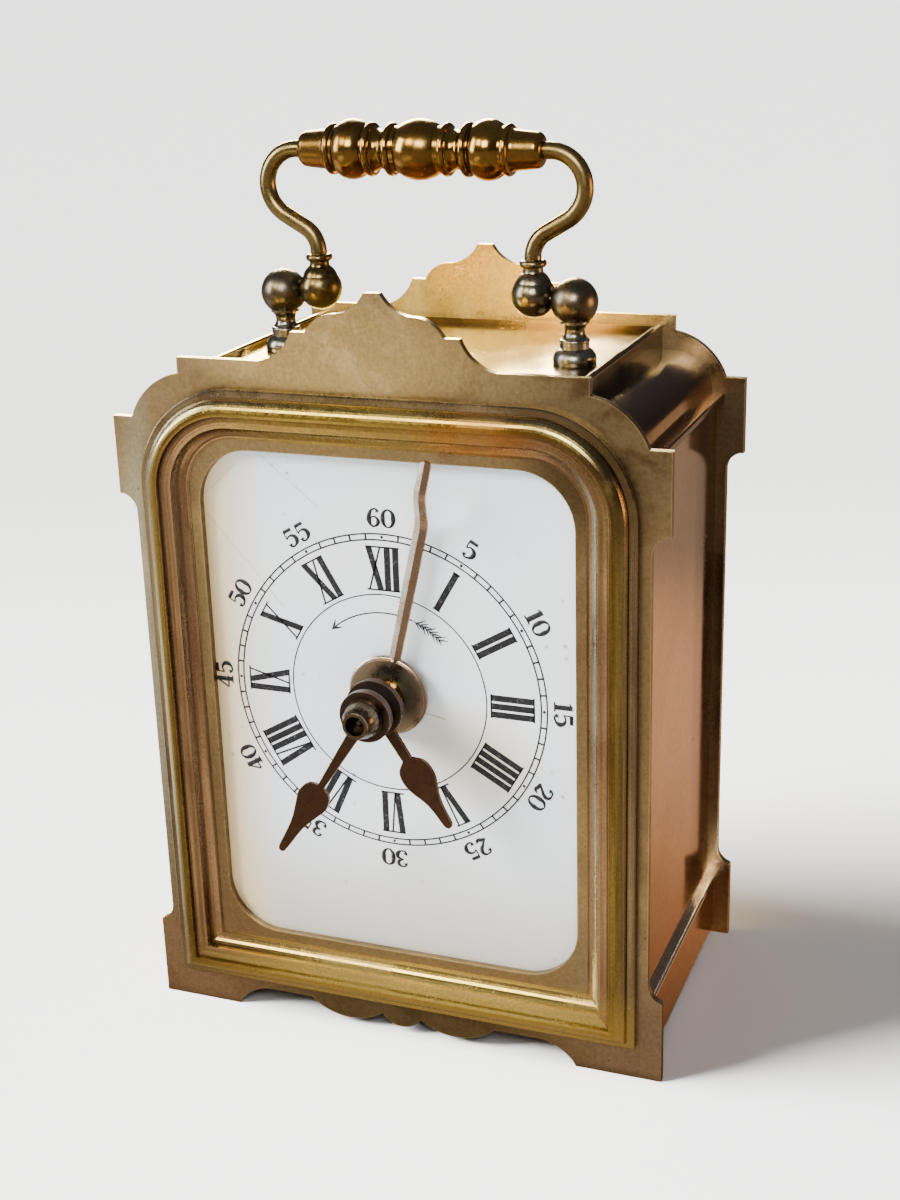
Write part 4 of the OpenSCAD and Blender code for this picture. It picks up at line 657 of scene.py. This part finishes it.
class CLOCK_OT_dial_track(bpy.types.Operator):
    """Prints the minute track and the inner ring"""

    bl_idname = "clock.dial_track"
    bl_label = "Dial track"

    def execute(self, context):
        sizes = context.scene.clock_sizes
        line = TRACK_LINE
        parts = [flat_ring(sizes.track_outer, line), flat_ring(sizes.track_inner + line, line),
                 flat_ring(sizes.ring_radius + line / 2, line * RING_SHARE, 120)]
        for minute in range(60):
            angle = math.radians(minute * 6)
            if minute % 5:
                tick = stroke(0, 0, sizes.track_inner, sizes.track_outer, line * TICK_SHARE)
                parts.append(turned(tick, angle))
            else:
                middle = (sizes.track_inner + sizes.track_outer) / 2
                clear_selection()
                bpy.ops.mesh.primitive_circle_add(vertices=12, radius=DOT_RADIUS, fill_type="NGON",
                                                  location=(0, 0, middle), rotation=UPRIGHT)
                dot = bpy.context.object
                bake_place()
                parts.append(turned(dot, angle))
        print_on_dial(parts, "dial_track", sizes, FINISHES["ink"])
        return {"FINISHED"}


class CLOCK_OT_dial_hours(bpy.types.Operator):
    """Prints the Roman hour numerals"""

    bl_idname = "clock.dial_hours"
    bl_label = "Dial hours"

    def execute(self, context):
        sizes = context.scene.clock_sizes
        names = ["XII", "I", "II", "III", "IIII", "V", "VI", "VII", "VIII", "IX", "X", "XI"]
        parts = []
        for hour, text in enumerate(names):
            for part in roman(text, sizes.hour_inner, sizes.hour_outer):
                parts.append(turned(part, math.radians(hour * 30)))
        print_on_dial(parts, "dial_hours", sizes, FINISHES["ink"])
        return {"FINISHED"}


class CLOCK_OT_dial_minutes(bpy.types.Operator):
    """Prints the minute numerals outside the track"""

    bl_idname = "clock.dial_minutes"
    bl_label = "Dial minutes"

    def execute(self, context):
        sizes = context.scene.clock_sizes
        parts = []
        for index in range(12):
            for part in figures(str(index * 5 or 60), sizes.minute_height, sizes.minute_radius):
                parts.append(turned(part, math.radians(index * 30)))
        lay_on_dial(join(parts), "dial_minutes", sizes, FINISHES["ink"], 0.0)
        return {"FINISHED"}


# The arrow: angles in degrees from twelve, lengths in millimetres
ARROW_TIP = -42.7
ARROW_ARC, ARROW_TAIL = range(-40, 24, 4), (23, 30, 37, 44)
BARBS, BARB_START, BARB_STEP = 16, 22.5, 1.35


class CLOCK_OT_dial_arrow(bpy.types.Operator):
    """Prints the curved arrow that shows which way the alarm hand is set"""

    bl_idname = "clock.dial_arrow"
    bl_label = "Dial arrow"

    def execute(self, context):
        sizes = context.scene.clock_sizes
        r = sizes.arrow_radius / MM
        arc = [(r * math.sin(math.radians(a)), r * math.cos(math.radians(a)), 0.24) for a in ARROW_ARC]
        parts = [pen(arc, MM)]
        for lift in (0.62, -0.62):
            point = [(1.5, r + lift * 1.25, 0.14), (0.7, r + lift * 0.4, 0.4), (0, r, 0.2)]
            parts.append(turned(pen(point, MM), math.radians(ARROW_TIP)))
        for index in range(BARBS):
            side = 1 if index % 2 else -1
            reach = 0.75 + 0.3 * math.sin(index * 2.1)
            barb = [(-0.35, r - 0.1 * side, 0.12), (0.15, r + 0.2 * side, 0.27), (0.9, r + reach * side, 0.12)]
            parts.append(turned(pen(barb, MM), math.radians(BARB_START + index * BARB_STEP)))
        shaft = [(r * math.sin(math.radians(a)), (r - 0.12) * math.cos(math.radians(a)), 0.12)
                 for a in ARROW_TAIL]
        parts.append(pen(shaft, MM))
        lay_on_dial(join(parts), "dial_arrow", sizes, FINISHES["ink"], 0.0)
        return {"FINISHED"}


class CLOCK_OT_finishes(bpy.types.Operator):
    """Gives every node of the model its finish"""

    bl_idname = "clock.finishes"
    bl_label = "Finishes"

    def execute(self, context):
        colours = context.scene.clock_colours
        FINISHES["ink"] = ink(colours)
        dress(enamel(colours), "dial")
        self.plates(colours)
        self.panels(colours)
        self.handle(colours)
        self.hands(colours)
        self.movement()
        return {"FINISHED"}

    def plates(self, colours):
        sheet = tuple(colours.sheet)
        # Painted reflections and shade on the front plate: a golden highlight on the crest, dark patches at the
        # upper right and along the bottom, grey and coppery patches lower down and at the left, and painted
        # shade on sides that face right.
        dress(metal("front_brass", (0.42, 0.31, 0.165), sheet, (0.28, 0.46),
                    clouds=70.0, pits=700.0, edge=(0.62, 0.47, 0.25),
                    spots=[((-6, FACE, 109), (24, 6, 9), (0.86, 0.66, 0.31), 0.95),
                           ((33, FACE, 98), (14, 6, 16), (0.13, 0.098, 0.052), 0.92),
                           ((-39, FACE, 62), (5, 6, 42), (0.54, 0.54, 0.46), 0.95),
                           ((-36, FACE, 6), (14, 6, 14), (0.42, 0.27, 0.17), 0.7),
                           ((38, FACE, 10), (12, 6, 18), (0.40, 0.31, 0.22), 0.8),
                           ((0, FACE, 2), (30, 6, 6), (0.12, 0.095, 0.048), 0.9)],
                    painted_facing_light=[("X", 0.4, 0.8, (0.16, 0.11, 0.07), 0.7)]),
              "front_plate")
        # Painted reflections on the back plate: a golden highlight on the crest and a dark reflection down its
        # right edge.
        dress(metal("back_brass", (0.56, 0.43, 0.22), sheet, (0.26, 0.42),
                    clouds=60.0, pits=700.0, pit_depth=0.2, grime_and_shade=0.3, bump=0.05, shift=1.7,
                    spots=[((0, -FACE, 112), (34, 60, 12), (1.0, 0.76, 0.22), 0.95),
                           ((43, -FACE, 70), (8, 60, 90), (0.05, 0.035, 0.028), 1.0)]),
              "back_plate", "back_door")
        # Painted reflections on the moulding: gold on the bottom run, a golden highlight and an orange glint on
        # the top run, dark at the upper right corner, and a silvery glint on sides that face left.
        dress(metal("moulding_brass", tuple(colours.gold), (0.30, 0.21, 0.07), (0.20, 0.36), base=moulding,
                    clouds=60.0, pits=1000.0, pit_depth=0.2, grime_and_shade=0.3,
                    edge=(0.56, 0.42, 0.22), edge_width=0.2 * MM,
                    spots=[((6, FACE, 8), (46, 12, 10), (1.0, 0.78, 0.20), 0.62),
                           ((-4, FACE, 98), (24, 12, 4.5), (0.56, 0.42, 0.09), 0.7),
                           ((15, FACE, 98), (10, 12, 4), (0.62, 0.26, 0.05), 0.7),
                           ((34, FACE, 92), (9, 12, 12), (0.15, 0.10, 0.045), 0.8)],
                    painted_facing_light=[("X", -0.2, -0.75, (0.66, 0.64, 0.53), 0.9)]),
              "dial_bezel")

    def panels(self, colours):
        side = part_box("right_side_panel")
        # Depth of the painted dark reflection down the side panel
        dark_reflection_depth = (0.2 * side[0][1] + 0.8 * side[1][1]) / MM
        # Painted reflections on the side panels: a dark stripe, orange low down, and pale grey on upward faces
        # of the ledge.
        dress(metal("side_copper", tuple(colours.copper), (0.40, 0.23, 0.125), (0.06, 0.14),
                    clouds=30.0, pits=400.0, pit_depth=0.25, grime_and_shade=0.15, bump=0.05, edge=(0.75, 0.62, 0.50),
                    spots=[((38, dark_reflection_depth, 58), (6, 5.5, 60), (0.20, 0.10, 0.06), 0.9),
                           ((38, 0, 8), (6, 60, 12), (0.62, 0.30, 0.13), 0.6)],
                    painted_facing_light=[("Z", 0.2, 0.6, (0.80, 0.78, 0.74), 0.95)]),
              "left_side_panel", "right_side_panel")
        # A painted orange highlight along the lip of the right shoulder.
        dress(metal("shoulder_bronze", tuple(colours.bronze), (0.12, 0.075, 0.05), (0.12, 0.24),
                    clouds=30.0, pits=500.0, pit_depth=0.2, grime_and_shade=0.3, bump=0.06, edge=(0.72, 0.42, 0.20),
                    spots=[((38, 0, 96.5), (3, 60, 1.8), (0.66, 0.34, 0.12), 0.9)]),
              "left_shoulder", "right_shoulder")
        # Painted reflections on the tray: golden at the left, dark at the right.
        dress(metal("tray_brass", (0.56, 0.40, 0.19), (0.44, 0.31, 0.14), (0.14, 0.26),
                    clouds=30.0, pits=500.0, pit_depth=0.2, grime_and_shade=0.3, bump=0.08, edge=(0.80, 0.52, 0.26),
                    spots=[((-8, 0, 102), (28, 34, 6), (1.0, 0.76, 0.24), 0.95),
                           ((32, 8, 102), (16, 44, 6), (0.10, 0.06, 0.025), 0.95)]),
              "top_panel")
        dress(metal("base_brass", (0.35, 0.28, 0.18), (0.22, 0.17, 0.11), (0.4, 0.6)),
              "base_panel", "mount_posts", "post_nuts")

    def handle(self, colours):
        dress(metal("post_brass", (0.24, 0.235, 0.205), tuple(colours.post), (0.24, 0.36),
                    clouds=60.0, pits=1200.0, pit_depth=0.2, grime_and_shade=0.35, bump=0.05, edge=(0.55, 0.50, 0.40),
                    spots=[((x, 0, 113), (6, 6, 5), (0.115, 0.08, 0.042), 0.95) for x in (23, -23)]),
              "left_post", "right_post")
        # A painted orange reflection on the grip's undersides.
        dress(metal("handle_brass", (0.36, 0.215, 0.055), tuple(colours.handle), (0.15, 0.25), dark=0.2,
                    clouds=60.0, pit_depth=0.2, bump=0.06, edge=(0.56, 0.38, 0.17),
                    painted_facing_light=[("Z", -0.3, -0.8, (0.48, 0.17, 0.035), 0.7)]),
              "handle_grip")
        dress(metal("arm_brass", (0.29, 0.215, 0.085), (0.17, 0.125, 0.052), (0.22, 0.36), dark=0.25,
                    pit_depth=0.3, bump=0.06, edge=(0.5, 0.38, 0.2),
                    spots=[((17, 0, 115), (5, 5, 6), (0.13, 0.125, 0.10), 0.9),
                           ((-17, 0, 115), (5, 5, 6), (0.11, 0.08, 0.032), 0.9)]),
              "left_arm", "right_arm")

    def hands(self, colours):
        hub = CENTRE_Z / MM
        dress(metal("hand_steel", (0.10, 0.055, 0.036), tuple(colours.hand), (0.3, 0.5),
                    clouds=260.0, pits=1800.0, bump=0.3, edge=(0.20, 0.12, 0.08),
                    spots=[((0, FACE - 5, hub), (5.2, 9, 5.2), (0.045, 0.042, 0.044), 0.95)]),
              "minute_hand", "hour_hand")
        dress(metal("hub_bronze", (0.13, 0.10, 0.07), (0.055, 0.042, 0.034), (0.24, 0.4),
                    clouds=300.0, pits=1800.0, edge=(0.36, 0.26, 0.17)),
              "hand_nut")
        # Painted light and shade on the alarm hand: its left faces painted lit, its right faces painted in
        # shade.
        dress(metal("alarm_copper", (0.60, 0.46, 0.38), (0.44, 0.32, 0.25), (0.26, 0.38),
                    clouds=240.0, pits=1500.0, pit_depth=0.2, grime_and_shade=0.25,
                    edge=(0.80, 0.68, 0.55), edge_width=0.2 * MM,
                    painted_facing_light=[("X", -0.1, -0.5, (0.88, 0.82, 0.78), 0.9),
                            ("X", 0.15, 0.5, (0.28, 0.19, 0.13), 0.8)],
                    spots=[((0, FACE, hub), (7.4, 9, 7.4), (0.19, 0.175, 0.13), 1.0)]),
              "alarm_hand")

    def movement(self):
        dress(metal("movement_brass", (0.66, 0.50, 0.24), (0.52, 0.38, 0.18), (0.22, 0.38)),
              "movement_front_plate", "movement_back_plate", "movement_pillars", "balance_cock", "bell_post")
        dress(metal("wheel_brass", (0.72, 0.54, 0.24), (0.58, 0.42, 0.18), (0.14, 0.3), shift=0.8),
              "hour_wheel", "minute_wheel", "alarm_wheel", "barrel", "barrel_cap", "centre_wheel",
              "third_wheel", "fourth_wheel", "escape_wheel", "alarm_barrel", "alarm_cap", "strike_wheel",
              "balance_wheel", "door_knob")
        dress(metal("bright_steel", (0.55, 0.56, 0.58), (0.36, 0.37, 0.39), (0.14, 0.3), edge=(0.8, 0.8, 0.82)),
              "pivot_pins", "hinge_pin", "barrel_arbor", "alarm_arbor", "click", "alarm_click",
              "pallet_lever", "regulator_index", "hammer")
        dress(metal("arbor_steel", (0.22, 0.17, 0.13), (0.12, 0.09, 0.07), (0.2, 0.36), edge=(0.4, 0.33, 0.26)),
              "cannon_pinion", "centre_arbor")
        dress(metal("blue_steel", (0.10, 0.16, 0.36), (0.06, 0.09, 0.22), (0.16, 0.3), edge=(0.25, 0.3, 0.5)),
              "mainspring", "alarm_mainspring", "hairspring")
        dress(metal("screw_steel", (0.30, 0.31, 0.34), (0.18, 0.19, 0.22), (0.18, 0.32)),
              "mount_screws", "movement_screws")
        dress(metal("bell_bronze", (0.66, 0.60, 0.46), (0.48, 0.42, 0.30), (0.16, 0.3)), "bell")


# The camera that the photograph was taken with, as its outline gives it
AZIMUTH, ELEVATION, ROLL = math.radians(21.318), math.radians(19.397), math.radians(-1.703)
CAMERA_DISTANCE = 0.25514
CAMERA_TARGET = (0.01029, PLATE_FRONT, 0.0738)
LENS = 53.61

FLOOR_SIZE = 60
FLOOR_NEAR, FLOOR_FAR, FLOOR_MIRRORED = (0.92, 0.92, 0.92), (0.66, 0.66, 0.66), (0.095, 0.072, 0.052)
# Bright and warm places on the floor that only the metal sees: centre, radii in millimetres, colour
FLOOR_GLOWS = [
    ((105, 95, 0), (130, 130, 50), (0.62, 0.30, 0.13)),
    ((0, -80, 0), (60, 42, 50), (0.70, 0.62, 0.40)),
    ((-200, -25, 0), (130, 80, 50), (0.95, 0.98, 0.86)),
    ((-165, -255, 0), (100, 140, 50), (1.30, 1.16, 0.78)),
]
SUN_STRENGTH = 23.0
SUN_FROM = (-0.78, -0.33, 0.58)
SUN_ANGLE = math.radians(32)
SUN_TONE = (1.0, 0.985, 0.96)
# Lights that only mirroring things see, except the fill: name, place, size, power, colour
LIGHTS = [
    ("left_window", (-0.55, -0.30, 0.30), (0.22, 0.40), 5.0, (0.95, 0.98, 1.0)),
    ("front_window", (0.12, -0.70, 0.50), (0.34, 0.26), 7.0, (1.0, 0.96, 0.88)),
    ("back_window", (-0.28, 0.55, 0.36), (0.30, 0.24), 13.0, (1.0, 0.85, 0.48)),
    ("upper_window", (-0.30, -0.60, 0.52), (0.26, 0.22), 3.2, (1.0, 0.84, 0.46)),
    ("fill", (0.30, -0.60, 0.60), (0.40, 0.30), 2.2, (1.0, 0.99, 0.97)),
    ("warm_lamp", (0.50, 0.10, 0.10), (0.20, 0.16), 1.0, (1.0, 0.55, 0.25)),
]
LIGHTS_AIM = (0, 0, 0.06)
# The air round the stage: low and high as the metal sees it, and as the camera does
AIR_LOW, AIR_HIGH, AIR_SEEN = (0.06, 0.047, 0.036), (0.15, 0.15, 0.16), (1.9, 1.9, 1.9)


def aimed(direction):
    """Turn of a light that shines along a direction."""
    return direction.to_track_quat("-Z", "Y").to_euler()


class CLOCK_OT_stage(bpy.types.Operator):
    """Sets the pale floor, the soft lights and the camera"""

    bl_idname = "clock.stage"
    bl_label = "Stage"

    def execute(self, context):
        self.camera(context)
        self.floor()
        self.lights(context)
        return {"FINISHED"}

    def camera(self, context):
        back = Vector((math.sin(AZIMUTH) * math.cos(ELEVATION), -math.cos(AZIMUTH) * math.cos(ELEVATION),
                       math.sin(ELEVATION)))
        right = Vector((0, 0, 1)).cross(back).normalized()
        up = back.cross(right)
        turned_right = right * math.cos(ROLL) + up * math.sin(ROLL)
        turned_up = up * math.cos(ROLL) - right * math.sin(ROLL)
        bpy.ops.object.camera_add()
        camera = context.object
        camera.name = "photo_camera"
        axes = Matrix((turned_right, turned_up, back)).transposed().to_4x4()
        camera.matrix_world = Matrix.Translation(Vector(CAMERA_TARGET) + back * CAMERA_DISTANCE) @ axes
        camera.data.sensor_fit = "VERTICAL"
        camera.data.sensor_height = 36
        camera.data.lens = LENS
        camera.data.clip_start = 0.01
        context.scene.camera = camera

    def floor(self):
        """A pale floor, a touch greyer far away, that the metal sees darker than the camera does."""
        clear_selection()
        bpy.ops.mesh.primitive_plane_add(size=FLOOR_SIZE)
        floor = bpy.context.object
        floor.name = "stage_floor"
        material, g, shader = new_material("stage_white")
        away = g.vector("DOT_PRODUCT", g.place(), (-math.sin(AZIMUTH), math.cos(AZIMUTH), 0))["Value"]
        pale = g.blend(g.ramp(away, 0.08, 0.34), FLOOR_NEAR, FLOOR_FAR)
        seen = g.add("ShaderNodeLightPath").outputs["Is Glossy Ray"]
        g.feed(shader.inputs["Base Color"], g.blend(seen, pale, FLOOR_MIRRORED))
        glow = (0, 0, 0)
        for centre, radii, tint in FLOOR_GLOWS:
            glow = g.blend(g.math("MULTIPLY", seen, g.spot(centre, radii)), glow, tint)
        g.feed(shader.inputs["Emission Color"], glow)
        shader.inputs["Emission Strength"].default_value = 1.0
        shader.inputs["Roughness"].default_value = 0.9
        shader.inputs["Specular IOR Level"].default_value = 0.1
        floor.data.materials.append(material)

    def lights(self, context):
        for name, place, size, power, tone in LIGHTS:
            bpy.ops.object.light_add(type="AREA", location=place)
            light = context.object
            light.name = name
            light.data.shape = "RECTANGLE"
            light.data.size, light.data.size_y = size
            light.data.energy = power
            light.data.color = tone
            light.visible_camera = False
            light.visible_diffuse = name == "fill"
            light.visible_glossy = name != "fill"
            light.rotation_euler = aimed(Vector(LIGHTS_AIM) - Vector(place))
        bpy.ops.object.light_add(type="SUN")
        sun = context.object
        sun.name = "high_window"
        sun.data.energy = SUN_STRENGTH
        sun.visible_glossy = False
        sun.data.angle = SUN_ANGLE
        sun.data.color = SUN_TONE
        sun.rotation_euler = aimed(-Vector(SUN_FROM))
        world = bpy.data.worlds.new("studio")
        context.scene.world = world
        world.use_nodes = True
        g = Graph(world.node_tree)
        shader = world.node_tree.nodes["Background"]
        way = g.add("ShaderNodeSeparateXYZ", {0: g.add("ShaderNodeTexCoord").outputs["Generated"]})
        rise = g.ramp(way.outputs["Z"], -0.05, 0.8)
        seen = g.add("ShaderNodeLightPath").outputs["Is Camera Ray"]
        air = g.blend(rise, AIR_LOW, AIR_HIGH)
        g.feed(shader.inputs["Color"], g.blend(seen, air, AIR_SEEN))
        shader.inputs["Strength"].default_value = 1.0


class CLOCK_PT_panel(bpy.types.Panel):
    """Lists the clock's operators"""

    bl_label = "Officer's clock"
    bl_idname = "CLOCK_PT_panel"
    bl_space_type = "VIEW_3D"
    bl_region_type = "UI"
    bl_category = "Clock"

    def draw(self, context):
        for operator in OPERATORS:
            self.layout.operator(operator.bl_idname)


OPERATORS = (CLOCK_OT_stage, CLOCK_OT_finishes, CLOCK_OT_dial_track, CLOCK_OT_dial_hours, CLOCK_OT_dial_minutes,
             CLOCK_OT_dial_arrow)
CLASSES = (ClockSizes, ClockColours, *OPERATORS, CLOCK_PT_panel)


def register():
    for item in CLASSES:
        bpy.utils.register_class(item)
    bpy.types.Scene.clock_sizes = PointerProperty(type=ClockSizes)
    bpy.types.Scene.clock_colours = PointerProperty(type=ClockColours)


def unregister():
    del bpy.types.Scene.clock_sizes
    del bpy.types.Scene.clock_colours
    for item in reversed(CLASSES):
        bpy.utils.unregister_class(item)


def main():
    register()
    bpy.ops.clock.stage()
    bpy.ops.clock.finishes()
    bpy.ops.clock.dial_track()
    bpy.ops.clock.dial_hours()
    bpy.ops.clock.dial_minutes()
    bpy.ops.clock.dial_arrow()


if __name__ == "__main__":
    main()
